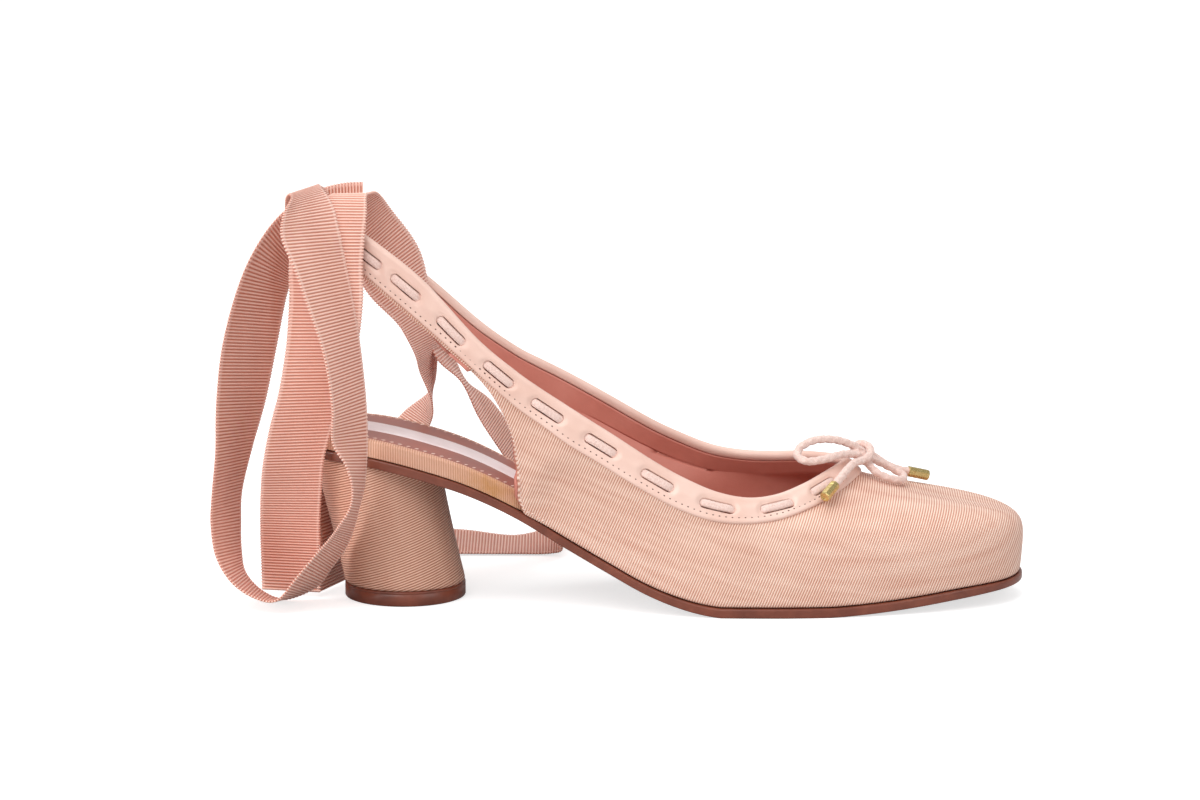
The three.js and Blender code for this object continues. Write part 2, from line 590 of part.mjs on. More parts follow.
// An oval bar that cuts one window through the band.
function windowCutter(row, side) {
  const { at, along, up, out } = bandFrame(row, side);
  const oval = new THREE.Shape();
  const straight = (WINDOW_LENGTH - WINDOW_HEIGHT) / 2;
  oval.absarc(straight, 0, WINDOW_HEIGHT / 2, -Math.PI / 2, Math.PI / 2, false);
  oval.absarc(-straight, 0, WINDOW_HEIGHT / 2, Math.PI / 2, (3 * Math.PI) / 2, false);
  const bar = new THREE.ExtrudeGeometry(oval, { depth: WINDOW_CUT_DEPTH, bevelEnabled: false, curveSegments: 3 });
  bar.translate(0, 0, -WINDOW_CUT_DEPTH / 2);
  const third = along.clone().cross(up);
  const turn = new THREE.Matrix4().makeBasis(along, up, third);
  turn.setPosition(at.clone().addScaledVector(out, -WINDOW_CUT_SET_IN));
  return bar.applyMatrix4(turn);
}

function makeUpper(windowRows) {
  let upper = toManifold(makeUpperShell());
  for (const side of [-1, 1]) {
    for (const row of windowRows) {
      upper = upper.subtract(toManifold(windowCutter(row, side)));
    }
  }
  return fromManifold(upper);
}

// The lace that runs round the band: behind the wall between the windows and arched out through each.
const LACE_ARCH = [
  { at: -0.5, out: -1 },
  { at: -0.3, out: 0.6 },
  { at: 0, out: 1 },
  { at: 0.3, out: 0.6 },
  { at: 0.5, out: -1 },
];

function makeLace(windowRows) {
  const behind = -(UPPER_WALL + FIT_GAP + LACE_THICK / 2 + LACE_BEHIND);
  const proud = BAND_STEP + LACE_PROUD;
  const sides = 6;
  const stops = windowRows.flatMap((row) => {
    const rate = upperPoint(row + 0.01, -1, 1.5).distanceTo(upperPoint(row - 0.01, -1, 1.5)) / 0.02;
    return LACE_ARCH.map(({ at, out }) => ({
      row: row + (at * (WINDOW_LENGTH - 1)) / rate,
      out: out < 0 ? behind : lerp(behind, proud, out),
    }));
  });
  const halves = [-1, 1].map((side) => stops
    .filter(({ row }) => row >= 0.1 && row <= LAST_ROW - 0.4)
    .map(({ row, out }) => ({ side, row, out })));
  const rings = [...halves[0], { side: -1, row: LAST_ROW, out: behind }, ...halves[1].reverse()];
  const rows = rings.map(({ side, row, out }) => {
    const frame = bandFrame(row, side);
    const middle = frame.at.clone().addScaledVector(frame.out, out);
    return Array.from({ length: sides }, (_, k) => {
      const angle = (2 * Math.PI * (k + 0.5)) / sides;
      return middle.clone()
        .addScaledVector(frame.up, (LACE_WIDTH / 2) * Math.cos(angle))
        .addScaledVector(frame.out, (LACE_THICK / 2) * Math.sin(angle));
    });
  });
  const capped = [[centre(rows[0])], ...rows, [centre(rows[rows.length - 1])]];
  const { points, faces } = rowsToSurface(capped, true);
  return toGeometry(points, faces);
}

function centre(points) {
  return points.reduce((sum, p) => sum.add(p), new THREE.Vector3()).divideScalar(points.length);
}

// A length of ribbon through the rows of its table.
function makeRibbon(table, stepsPerRow) {
  const column = (key, axis) => table.map((row) => row[key][axis]);
  const widths = table.map((row) => row.width ?? RIBBON_WIDTH);
  const rows = [];
  const count = (table.length - 1) * stepsPerRow;
  for (let i = 0; i <= count; i += 1) {
    const place = i / stepsPerRow;
    const middle = new THREE.Vector3(...[0, 1, 2].map((axis) => splineAt(column('at', axis), place)));
    const across = new THREE.Vector3(...[0, 1, 2].map((axis) => splineAt(column('across', axis), place)));
    across.normalize().multiplyScalar(splineAt(widths, place) / 2);
    rows.push([middle.clone().sub(across), middle.clone().add(across)]);
  }
  const surface = rowsToSurface(rows);
  const normals = surfaceNormals(surface);
  const index = new Map(surface.points.map((point, i) => [point, i]));
  const skin = (offset) => (point) => point.clone().addScaledVector(normals[index.get(point)], offset);
  return thicken(surface, skin(RIBBON_THICK / 2), skin(-RIBBON_THICK / 2));
}

// A round cord along points, eight sided.
function makeCord(points) {
  const path = new THREE.CatmullRomCurve3(points.map((p) => new THREE.Vector3(...p)));
  const section = new THREE.Shape();
  const corners = Array.from({ length: 8 }, (_, k) => {
    const angle = (2 * Math.PI * (k + 0.5)) / 8;
    return new THREE.Vector2((CORD / 2) * Math.cos(angle), (CORD / 2) * Math.sin(angle));
  });
  section.setFromPoints(corners);
  const steps = Math.max(6, Math.round(path.getLength() / (CORD * 0.9)));
  return new THREE.ExtrudeGeometry(section, { steps, bevelEnabled: false, extrudePath: path });
}

// The metal tip past the end of a cord, with a flat sided barrel.
function makeFerrule(points) {
  const [before, end] = points.slice(-2).map((p) => new THREE.Vector3(...p));
  const way = end.clone().sub(before).normalize();
  const barrel = new THREE.CylinderGeometry(FERRULE_ACROSS / 2, FERRULE_ACROSS / 2, FERRULE_LENGTH, 8);
  barrel.applyQuaternion(new THREE.Quaternion().setFromUnitVectors(new THREE.Vector3(0, 1, 0), way));
  const middle = end.addScaledVector(way, FERRULE_LENGTH / 2 + FIT_GAP);
  return barrel.translate(middle.x, middle.y, middle.z);
}

function makeKnot() {
  const knot = new THREE.SphereGeometry(1, 12, 8).scale(...KNOT.radii);
  knot.rotateY(THREE.MathUtils.degToRad(KNOT.lean));
  return knot.translate(...KNOT.at);
}

const pump = new THREE.Group();

function addPart(name, geometry, material) {
  const mesh = new THREE.Mesh(geometry, material);
  mesh.name = name;
  pump.add(mesh);
}

const windowRows = WINDOWS.map(rowAtX);
addPart('outsole', makeOutsole(), COLOURS.soleLeather);
addPart('heel_block', makeHeel(), COLOURS.fabric);
addPart('heel_top_piece', makeHeelLift(), COLOURS.soleLeather);
addPart('insole_board', makeBoard(), COLOURS.fabric);
addPart('insole_sock', makeSock(), COLOURS.sockLeather);
addPart('upper', makeUpper(windowRows), COLOURS.fabric);
addPart('collar_lace', makeLace(windowRows), COLOURS.bandLeather);
addPart('bow_knot', makeKnot(), COLOURS.bandLeather);
addPart('bow_loop_near', makeCord(BOW_LOOP_NEAR), COLOURS.bandLeather);
addPart('bow_loop_far', makeCord(BOW_LOOP_FAR), COLOURS.bandLeather);
addPart('bow_end_near', makeCord(BOW_END_NEAR), COLOURS.bandLeather);
addPart('bow_end_far', makeCord(BOW_END_FAR), COLOURS.bandLeather);
addPart('bow_tip_near', makeFerrule(BOW_END_NEAR), COLOURS.gilt);
addPart('bow_tip_far', makeFerrule(BOW_END_FAR), COLOURS.gilt);
addPart('ribbon_tie_looped', makeRibbon(TIE_ONE, 2), COLOURS.ribbon);
addPart('ribbon_tie_crossed', makeRibbon(TIE_TWO, 2), COLOURS.ribbon);

export default pump;
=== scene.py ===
import math

import bmesh
import bpy
import numpy as np
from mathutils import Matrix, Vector


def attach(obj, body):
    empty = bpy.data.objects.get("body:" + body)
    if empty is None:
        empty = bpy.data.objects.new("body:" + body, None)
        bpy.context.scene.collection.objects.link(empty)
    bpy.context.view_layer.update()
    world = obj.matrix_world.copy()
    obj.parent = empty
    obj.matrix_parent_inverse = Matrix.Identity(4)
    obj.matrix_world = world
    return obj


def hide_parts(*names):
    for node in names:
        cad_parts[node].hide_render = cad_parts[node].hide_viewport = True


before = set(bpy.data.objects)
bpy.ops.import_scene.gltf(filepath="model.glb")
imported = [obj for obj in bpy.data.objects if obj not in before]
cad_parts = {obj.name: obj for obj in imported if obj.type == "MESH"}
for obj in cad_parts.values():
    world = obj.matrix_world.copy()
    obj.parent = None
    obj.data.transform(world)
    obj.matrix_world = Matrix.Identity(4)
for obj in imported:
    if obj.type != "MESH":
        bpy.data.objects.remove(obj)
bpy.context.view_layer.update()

MM = 0.001

# Sizes in millimetres, the same as the solids.
FIT_GAP = 0.3
OUTSOLE_THICK = 3.2
OUTSOLE_TOE_THICK = 2.5
BOARD_THICK = 6.0
BOARD_FORE_THICK = 2.6
BOARD_EDGE_GAP = 0.4
BOARD_SIDE_SPARE = 0.2
SOCK_THICK = 0.8
SOCK_MARGIN = 3.0
UPPER_WALL = 2.0
WALL_REST_SPARE = 0.1
FEATHER_INSET = 0.8
BELLY_SIDEWAYS = 1.5
STATION_BEFORE_FEATHER = 7.0
LOWEST_STRAP_FOOT = 60.0
BAND_STEP = 1.2
WINDOW_LENGTH = 12.5
WINDOW_HEIGHT = 3.6
CORD = 2.8
FERRULE_LENGTH = 7.0
FERRULE_ACROSS = 3.8
HEEL_LIFT_THICK = 5.0
HEEL_FOOT_RADIUS = 20.6
HEEL_SEAT_RADIUS = 22.1
HEEL_SEAT_BACK = 9.5
RIBBON_WIDTH = 25.0

# Sizes in millimetres that only the dressed pieces have.
SOCK_PROUD = 0.12
MARK_PROUD = 0.13
RIBBON_THICK = 0.7
RIB_PITCH = 1.1
UPPER_RIB_LEAN = 23.0
HEEL_RIB_RISE = 0.36
STREAK_LEAN = 0.27
UPPER_CLOTH_THICK = 1.0
UPPER_FOOT_TUCK = 0.45
LINING_BACK = 1.1
LINING_BELOW_TOPLINE = 3.1
HEEL_WAIST = 0.35
HEEL_FOOT_ROUND = 0.5
HEEL_SEAT_CLEAR = 0.05
STRIP_ENDS = (-14.0, 41.0)
STRIP_HALF = 7.6
STRIP_THICK = 0.16
STRIP_EDGE = 0.3
BAND_STITCH_LINE = 1.9
POCKET_FLOOR = -0.75
WINDOW_CUT_OUT_TO = 6.0

# Braided cord of the bow and flat lace of the band, in millimetres.
BRAID_STRANDS = 5
BRAID_LAY = 3.4
BRAID_DEPTH = 0.16
BRAID_SIDES = 24
BRAID_STEP = 0.28
LACE_HALF_WIDE = 1.3
LACE_HALF_THICK = 0.8
LACE_SUNK = 0.5
LACE_SWELL = 1.2
LACE_LAY = 1.5
LACE_RELIEF = 0.07
LACE_SIDES = 20

# Stitches and needle holes: length, width and height, and how far apart, in millimetres.
SOCK_STITCH = (2.1, 0.55, 0.4)
SOCK_STITCH_SPACING = 2.9
SOCK_STITCH_INSET = 1.4
NEEDLE_HOLE = (0.75, 0.5, 0.16)
NEEDLE_HOLE_SPACING = 2.2
NEEDLE_HOLE_SUNK = 0.13
EDGE_STITCH = (1.3, 0.42, 0.42)
EDGE_STITCH_SPACING = 1.5
EDGE_STITCH_SET_IN = 0.7
EDGE_STITCH_PROUD = 0.05
EDGE_STITCH_SLANT = 0.8
MARK_UNEVEN = 0.1
MARK_SEED = 7

# Fineness of the meshes.
DENSE = 60
PLATE_STEPS = 360
PLATE_ACROSS = 16
PLATE_CROWDING = 0.12
HEEL_SIDES = 128
UV_SCALE = 0.01

# Camera and studio: aim in millimetres, places and sizes in metres, power in watts.
CAMERA_AIM = (66.6, 0.0, 67.5)
CAMERA_RISE = 10.4
CAMERA_DISTANCE = 1.6
CAMERA_VIEW_WIDTH = 0.408
FLOOR_HALF = 6.0
LIGHT_AIM = (0.09, 0.0, 0.04)
LIGHTS = [
    ("key", (-0.5, -1.2, 1.5), 1.2, 17.0),
    ("side", (-1.5, -0.6, 0.7), 1.0, 13.0),
    ("fill", (1.2, -1.0, 0.9), 1.0, 5.0),
    ("top", (0.1, 0.5, 1.8), 1.4, 11.0),
]

# Plan of the last, heel seat to toe: x, half width, side shift of the middle, height of the underside.
PLAN = np.array([
    (-32.6, 0.0, 0.0, 50.6), (-31.0, 8.8, 0.0, 50.5), (-26.5, 16.8, 0.0, 50.2), (-19.0, 22.2, 0.0, 49.8),
    (-8.0, 25.4, 0.0, 48.3), (6.0, 26.8, -0.2, 44.9), (22.0, 26.3, -0.7, 39.6), (38.0, 25.0, -1.0, 31.8),
    (54.0, 25.8, -1.7, 22.3), (68.0, 28.3, -2.2, 14.5), (82.0, 32.0, -2.0, 7.2), (95.0, 35.3, -1.2, 2.4),
    (107.0, 37.4, -0.4, 0.0), (118.0, 38.4, 0.2, 0.0), (130.0, 38.6, 0.4, 0.0), (144.0, 37.9, 0.7, 0.0),
    (158.0, 36.4, 1.2, 0.9), (172.0, 33.6, 1.8, 2.2), (185.0, 29.8, 2.3, 3.7), (196.0, 25.0, 2.8, 4.8),
    (204.5, 18.6, 3.0, 5.5), (209.6, 10.2, 3.0, 5.9), (211.2, 0.0, 3.0, 6.0),
])
TOE_END = len(PLAN) - 1

# Half of the upper, strap end to toe: topline, band's lower edge, foot, lift of the inner side's topline.
UPPER = [
    ((-18.0, 18.0, 131.0), (-17.6, 18.4, 118.8), (-17.5, 18.4, 117.3), -6.0),
    ((-7.5, 21.8, 124.4), (-9.0, 22.0, 111.6), (-8.9, 22.0, 110.1), -6.4),
    ((8.0, 25.2, 112.3), (4.8, 25.2, 100.2), (4.9, 25.2, 98.7), -6.4),
    ((25.8, 28.0, 93.3), (19.5, 27.6, 87.4), (20.6, 27.6, 85.2), -3.4),
    ((38.3, 29.0, 82.9), (30.0, 29.2, 77.9), (30.2, 28.6, 74.6), -2.0),
    ((46.0, 29.5, 77.4), (39.7, 30.2, 69.7), (36.6, 28.6, 62.0), -0.6),
    ((53.6, 30.0, 72.5), (47.4, 31.2, 64.4), (39.5, 28.2, 48.5), 0.4),
    ((62.0, 30.5, 67.1), (56.0, 32.4, 58.2), (41.2, 27.6, 34.0), 1.2),
    ((71.0, 31.0, 61.5), (65.0, 33.4, 52.9), 7.75, 1.6),
    ((84.8, 31.8, 52.6), (80.0, 35.2, 43.8), 8.9, 2.4),
    ((95.2, 32.0, 46.8), (92.0, 36.4, 37.4), 10.0, 3.2),
    ((105.6, 31.0, 42.1), (104.0, 36.6, 33.1), 11.4, 4.0),
    ((116.0, 29.6, 39.8), (115.8, 35.7, 31.9), 13.0, 4.6),
    ((125.6, 26.6, 40.3), (127.0, 32.6, 32.8), 14.6, 4.2),
    ((134.6, 21.0, 42.7), (137.6, 26.8, 35.6), 16.2, 3.0),
    ((142.3, 13.4, 45.4), (147.2, 17.6, 39.2), 18.2, 1.2),
    ((147.6, 5.8, 47.1), (153.2, 7.8, 41.8), 20.4, 0.2),
    ((149.4, 0.0, 47.5), (155.2, 0.0, 42.4), TOE_END, 0.0),
]
LAST_ROW = len(UPPER) - 1
FIRST_FEATHER_ROW = 8
ROOF_RISE = 1.78

# Section of the upper's wall: row, roof, square, arc in degrees, belly.
SHAPE = np.array([
    (0, 1.0, 2.0, 40, 0.0), (7, 1.0, 2.0, 40, 0.6), (9, 1.0, 2.0, 45, 1.0), (11, 1.0, 2.2, 55, 0.8),
    (13, 0.96, 2.6, 75, 0.4), (15, 0.78, 4.0, 90, 0.3), (17, 0.65, 8.0, 90, 1.2),
])
WINDOWS = [-11.0, 1.9, 17.0, 32.8, 49.0, 66.8, 85.7, 105.6, 125.8, 141.6]

# Ribbon ties: middle, direction across, width.
TIE_ONE = [
    ((-14.0, 13.6, 128.2), (0.0, 0.1, -1.0)), ((-21.0, 14.8, 127.6), (0.0, 0.1, -1.0)),
    ((-28.0, 14.2, 126.0), (0.05, 0.2, -0.98)), ((-36.0, 10.0, 122.8), (0.28, 0.55, -0.79)),
    ((-42.5, 4.0, 116.5), (0.42, 0.72, -0.55)), ((-47.5, 0.0, 105.5), (0.6, 0.76, -0.25)),
    ((-52.0, -3.0, 87.0), (0.68, 0.72, -0.15)), ((-55.0, -5.0, 68.5), (0.61, 0.78, -0.12)),
    ((-57.5, -6.5, 52.0), (0.44, 0.9, -0.08)), ((-60.0, -8.2, 37.0), (0.34, 0.94, -0.08)),
    ((-60.4, -9.8, 27.0), (0.33, 0.93, -0.12)), ((-59.3, -13.2, 17.0), (0.27, 0.96, -0.12)),
    ((-55.7, -17.6, 9.6), (0.11, 0.98, -0.08)), ((-48.6, -21.0, 4.4), (0.03, 0.99, -0.13)),
    ((-41.0, -23.0, 3.2), (0.05, 0.97, -0.2)), ((-32.4, -23.4, 9.2), (0.22, 0.92, -0.32)),
    ((-26.9, -24.2, 16.2), (0.18, 0.92, -0.36)), ((-21.8, -27.4, 23.2), (0.17, 0.93, -0.32)),
    ((-18.4, -32.0, 29.8), (0.14, 0.96, -0.25)), ((-15.4, -35.0, 37.0), (0.06, 0.97, -0.22)),
    ((-14.0, -37.2, 44.4), (0.1, 0.97, -0.2)), ((-14.5, -38.6, 52.4), (0.22, 0.96, -0.18)),
    ((-16.4, -39.4, 61.0), (0.42, 0.9, -0.12)), ((-16.6, -39.8, 74.0), (0.4, 0.92, 0.0)),
    ((-18.8, -39.5, 92.0), (0.43, 0.9, 0.0)), ((-22.9, -38.8, 109.0), (0.56, 0.83, 0.0)),
    ((-25.8, -38.0, 119.6), (0.62, 0.78, 0.0)), ((-28.8, -36.4, 129.2), (0.73, 0.68, -0.04)),
    ((-29.8, -32.6, 136.6), (0.62, 0.78, 0.0)), ((-30.6, -26.0, 141.4), (0.38, 0.92, 0.0)),
    ((-32.0, -17.0, 142.0), (0.34, 0.94, 0.0)), ((-31.8, -8.5, 138.4), (0.6, 0.8, 0.0), 22),
    ((-30.6, -3.2, 130.0), (0.85, 0.5, 0.0), 19), ((-29.5, -0.5, 119.0), (0.97, 0.2, 0.0), 18),
    ((-29.3, 1.5, 105.0), (0.97, 0.2, 0.0), 19), ((-29.8, 4.5, 90.0), (0.9, 0.42, 0.0), 21),
    ((-30.6, 8.0, 75.0), (0.7, 0.7, 0.0), 24), ((-30.4, 12.5, 61.0), (0.5, 0.86, 0.0)),
    ((-29.9, 14.3, 50.0), (0.47, 0.88, 0.0)), ((-28.2, 14.6, 41.0), (0.46, 0.88, 0.0)),
    ((-25.4, 14.2, 30.5), (0.46, 0.88, 0.0)), ((-23.8, 12.5, 19.0), (0.44, 0.9, 0.0)),
    ((-24.4, 10.5, 9.0), (0.4, 0.92, 0.0)), ((-24.9, 9.5, 1.0), (0.38, 0.92, 0.0)),
]
TIE_TWO = [
    ((6.4, 29.6, 96.4), (0.69, 0.03, -0.72), 14), ((9.4, 34.0, 88.2), (0.45, 0.8, -0.4), 17),
    ((12.2, 33.6, 78.5), (0.19, 0.97, 0.0), 22), ((19.2, 36.6, 67.5), (0.02, 0.98, -0.15)),
    ((27.0, 41.0, 56.0), (0.14, 0.98, 0.07)), ((38.0, 50.0, 37.5), (0.17, 0.97, 0.09)),
    ((49.0, 61.0, 17.5), (0.2, 0.94, 0.2)), ((54.2, 69.0, 7.0), (0.1, 0.96, 0.24)),
    ((49.0, 72.5, 3.4), (0.0, 0.98, 0.18)), ((36.0, 73.0, 1.6), (0.0, 1.0, 0.05)),
    ((18.0, 73.0, 2.6), (0.0, 0.99, 0.13)), ((0.0, 72.5, 3.2), (0.0, 0.98, 0.17)),
    ((-14.0, 69.5, 5.2), (-0.05, 0.97, 0.2)), ((-20.5, 64.0, 13.0), (-0.2, 0.95, 0.15)),
    ((-18.5, 58.0, 23.5), (-0.3, 0.94, 0.1)), ((-9.0, 51.5, 38.0), (-0.38, 0.92, 0.1)),
    ((2.0, 45.0, 52.0), (-0.38, 0.92, 0.05)), ((8.0, 35.0, 62.5), (-0.05, 1.0, 0.0)),
    ((7.5, 24.5, 75.0), (0.2, 0.98, 0.0)), ((7.2, 17.0, 81.5), (0.26, 0.96, 0.0)),
    ((5.8, 12.0, 88.5), (0.34, 0.93, 0.05)), ((2.8, 9.0, 97.5), (0.44, 0.87, 0.2)),
    ((-4.2, 6.0, 112.0), (0.72, 0.5, 0.48)), ((-11.0, 1.5, 125.5), (0.74, 0.2, 0.64), 20),
    ((-14.0, -4.0, 135.5), (0.82, -0.1, 0.5), 14), ((-16.2, -11.0, 139.4), (0.97, -0.1, 0.1), 11),
    ((-17.8, -17.4, 139.6), (0.98, -0.08, 0.0), 13), ((-20.6, -21.8, 134.6), (0.99, -0.05, 0.0), 19),
    ((-23.4, -24.6, 127.2), (1.0, -0.03, 0.0), 23.5), ((-24.6, -25.6, 118.0), (1.0, 0.0, 0.0), 24.5),
    ((-24.6, -25.6, 105.8), (1.0, 0.0, 0.0), 24.5), ((-26.2, -25.4, 90.8), (1.0, 0.05, 0.0), 24),
    ((-29.6, -25.2, 75.5), (0.98, 0.15, 0.0), 22.5), ((-33.5, -24.6, 62.9), (0.97, 0.2, 0.0), 21.5),
    ((-36.4, -22.6, 50.5), (0.97, 0.15, 0.0), 20.5), ((-37.6, -18.0, 39.5), (0.98, 0.0, 0.0), 20.5),
    ((-38.3, -13.5, 30.5), (0.98, -0.1, 0.0), 20.5), ((-38.7, -9.0, 21.0), (0.97, -0.18, 0.0), 20.8),
    ((-38.9, -5.6, 11.5), (0.97, -0.22, 0.0), 20.8), ((-38.9, -4.2, 2.0), (0.97, -0.22, 0.0), 20.8),
]

# Bow at the throat, points along the middle of the cord.
BOW_LOOP_NEAR = [
    (156.0, -0.4, 49.4), (153.2, -2.2, 52.0), (146.6, -5.8, 54.8), (139.6, -9.2, 55.4), (134.2, -12.4, 53.4),
    (133.4, -15.4, 50.9), (136.8, -16.9, 49.6), (142.2, -14.4, 49.8), (148.0, -9.4, 50.4),
    (152.0, -5.4, 49.9), (154.6, -2.8, 48.6),
]
BOW_LOOP_FAR = [
    (156.4, 0.2, 47.6), (158.6, 2.4, 46.9), (163.0, 5.0, 44.6), (167.4, 5.6, 42.2), (170.2, 3.2, 40.6),
    (169.4, -0.9, 40.0), (165.4, -3.6, 41.0), (161.2, -4.0, 42.9), (158.9, -2.7, 44.8), (157.2, -1.4, 46.6),
]
BOW_END_NEAR = [
    (145.4, -22.0, 42.3), (147.6, -18.4, 44.1), (150.0, -14.0, 46.0), (152.6, -9.4, 47.4),
    (155.4, -5.4, 47.6), (157.8, -3.4, 48.6), (158.7, -1.0, 50.4), (157.0, 1.4, 52.0),
    (154.2, 2.6, 51.6), (152.6, 2.8, 49.6),
]
BOW_END_FAR = [
    (172.8, 14.0, 40.0), (169.0, 12.8, 41.0), (164.6, 10.8, 43.2), (159.6, 7.6, 47.0), (156.0, 4.0, 48.8),
    (153.6, 0.8, 50.4), (153.2, -2.4, 50.4), (154.4, -4.4, 48.8),
]
KNOT_MIDDLE = (155.6, -0.6, 48.2)
KNOT_LEAN = -35.0
KNOT_RADII = (2.1, 2.9, 3.6)


def smoothstep(x, low, high):
    f = np.clip((np.asarray(x, float) - low) / (high - low), 0.0, 1.0)
    return f * f * (3.0 - 2.0 * f)


def mix(a, b, f):
    return a + (b - a) * f


def unit(vectors):
    vectors = np.asarray(vectors, float)
    return vectors / np.maximum(np.linalg.norm(vectors, axis=-1, keepdims=True), 1e-12)


def spline_at(values, place, even=False):
    """Catmull-Rom value at fractional places; the ends run on straight, or turn back where even is true."""
    values = np.asarray(values, float)
    place = np.asarray(place, float)
    last = len(values) - 1
    first = values[1] if even else 2 * values[0] - values[1]
    final = values[last - 1] if even else 2 * values[last] - values[last - 1]
    padded = np.concatenate([[first], values, [final]])
    i = np.clip(np.floor(place).astype(int), 0, last - 1)
    f = place - i
    f = f.reshape(f.shape + (1,) * (values.ndim - 1))
    a, b, c, d = padded[i], padded[i + 1], padded[i + 2], padded[i + 3]
    return b + 0.5 * f * (c - a + f * (2 * a - 5 * b + 4 * c - d + f * (3 * (b - c) + d - a)))


def plan_station(t):
    x = spline_at(PLAN[:, 0], t, True)
    half = spline_at(PLAN[:, 1], t)
    mid = spline_at(PLAN[:, 2], t, True)
    z = np.maximum(spline_at(PLAN[:, 3], t, True), 0.0)
    return x, half, mid, z


def edge_point(t, side, inset):
    """Points on the plan's edge moved inwards; side is -1 for the outer edge and 1 for the inner one."""
    t = np.asarray(t, float)
    side = np.broadcast_to(np.asarray(side, float), t.shape)
    step = 0.02
    low = plan_station(np.maximum(t - step, 0.0))
    high = plan_station(np.minimum(t + step, TOE_END))
    x, half, mid, z = plan_station(t)
    tangent_x = high[0] - low[0]
    tangent_y = high[2] - low[2] + side * (high[1] - low[1])
    at_heel, at_toe = t - step < 0.0, t + step > TOE_END
    tangent_x = np.where(at_heel | at_toe, 0.0, tangent_x)
    tangent_y = np.where(at_heel, side, np.where(at_toe, -side, tangent_y))
    length = np.hypot(tangent_x, tangent_y)
    inward_x, inward_y = side * tangent_y / length, -side * tangent_x / length
    return np.stack([x + inset * inward_x, mid + side * half + inset * inward_y, z], -1)


_places = np.linspace(0, TOE_END, 2201)
_plan_x, _, _, _plan_z = plan_station(_places)


def sole_z(x):
    return np.interp(x, _plan_x, _plan_z)


def outsole_thick(x):
    return mix(OUTSOLE_THICK, OUTSOLE_TOE_THICK, smoothstep(x, 185, 210))


def board_bottom(x):
    return outsole_thick(x) + FIT_GAP


def board_top(x):
    return board_bottom(x) + mix(BOARD_THICK, BOARD_FORE_THICK, smoothstep(x, 48, 80))


def board_inset(t):
    inside = FEATHER_INSET + UPPER_WALL + FIT_GAP + BOARD_SIDE_SPARE
    return mix(BOARD_EDGE_GAP, inside, smoothstep(plan_station(t)[0], 36, 46))


def sock_inset(t):
    return board_inset(t) + SOCK_MARGIN


def rest_height(x):
    return sole_z(x) + outsole_thick(x) + FIT_GAP + WALL_REST_SPARE


def feather_point(station, side):
    point = edge_point(station, side, FEATHER_INSET)
    point[..., 2] = rest_height(point[..., 0])
    return point


def guide_rows(line, side):
    rows = []
    for entry in UPPER:
        value = entry[line]
        if isinstance(value, tuple):
            lift = 0.0 if line == 2 and entry[2][2] < LOWEST_STRAP_FOOT else entry[3]
            rows.append((value[0], side * value[1], value[2] + (lift if side > 0 else 0.0)))
        else:
            rows.append(tuple(feather_point(np.array(float(value)), side)))
    return np.array(rows)


GUIDES = {(line, side): guide_rows(line, side) for line in (0, 1, 2) for side in (-1, 1)}


def guide_point(line, row, side):
    """Point of a guide line; the plan turns square across the middle line at the toe."""
    near, far = [spline_at(GUIDES[line, s], row) for s in (-1, 1)]
    for points, s in ((near, -1), (far, 1)):
        table = GUIDES[line, s]
        closed = np.concatenate([table, [table[-2] * (1, -1, 1)]])
        points[..., 0] = spline_at(closed[:, 0], row)
        points[..., 2] = spline_at(closed[:, 2], row)
    return np.where((side < 0)[:, None], near, far)


def foot_point(row, side):
    free = guide_point(2, row, side)
    free[:, 2] = np.maximum(free[:, 2], rest_height(free[:, 0]))
    stations = [STATION_BEFORE_FEATHER if isinstance(entry[2], tuple) else entry[2] for entry in UPPER]
    station = np.minimum(spline_at(stations, row), TOE_END)
    return np.where((row < FIRST_FEATHER_ROW)[:, None], free, feather_point(station, side))


def shape_at(row, key):
    rows = SHAPE[:, 0]
    after = np.clip(np.searchsorted(rows, row, side="left"), 1, len(rows) - 1)
    f = smoothstep((row - rows[after - 1]) / (rows[after] - rows[after - 1]), 0, 1)
    return mix(SHAPE[after - 1, key], SHAPE[after, key], f)


def upper_points(row, side, v):
    """The upper's outer face at columns (row, side) and heights v: foot 0, band's lower edge 1, topline 2.
    v is one list for all columns or one list a column."""
    row, side = np.asarray(row, float), np.asarray(side, float)
    v = np.broadcast_to(np.asarray(v, float), (len(row), np.shape(v)[-1]))
    band = guide_point(1, row, side)[:, None]
    top = guide_point(0, row, side)[:, None]
    foot = foot_point(row, side)[:, None]
    square = shape_at(row, 2)[:, None]
    arc = np.radians(shape_at(row, 3))[:, None]
    roof = shape_at(row, 1)[:, None]

    def on_roll(angle):
        c, s = np.maximum(np.cos(angle), 0.0), np.sin(angle)
        radius = (c ** square + s ** square) ** (-1.0 / square)
        return 1 - radius * c, radius * s

    low = np.clip(v, 0.0, 1.0)
    in_full, up_full = on_roll(arc)
    inwards, upwards = on_roll(arc * low)
    along = inwards / in_full
    climb = roof * (upwards / up_full) + (1 - roof) * along ** ROOF_RISE
    point = mix(foot, band, along[..., None])
    point[..., 2] = mix(foot[..., 2], band[..., 2], climb)
    outward = foot - band
    outward[..., 2] = 0
    outward[..., 1] += side[:, None] * BELLY_SIDEWAYS
    belly = shape_at(row, 4)[:, None] * np.sin(np.pi * low)
    point = point + unit(outward) * belly[..., None]
    on_band = mix(band, top, np.maximum(v - 1, 0.0)[..., None])
    return np.where((v > 1)[..., None], on_band, point)


def upper_columns(count):
    """Rows and sides of columns from the outer strap end round the toe to the inner one."""
    place = np.linspace(0, 2 * LAST_ROW, 2 * count + 1)
    side = np.where(place <= LAST_ROW, -1.0, 1.0)
    return np.where(side < 0, place, 2 * LAST_ROW - place), side


def band_middle(row, side):
    return upper_points(row, side, [1.5])[:, 0]


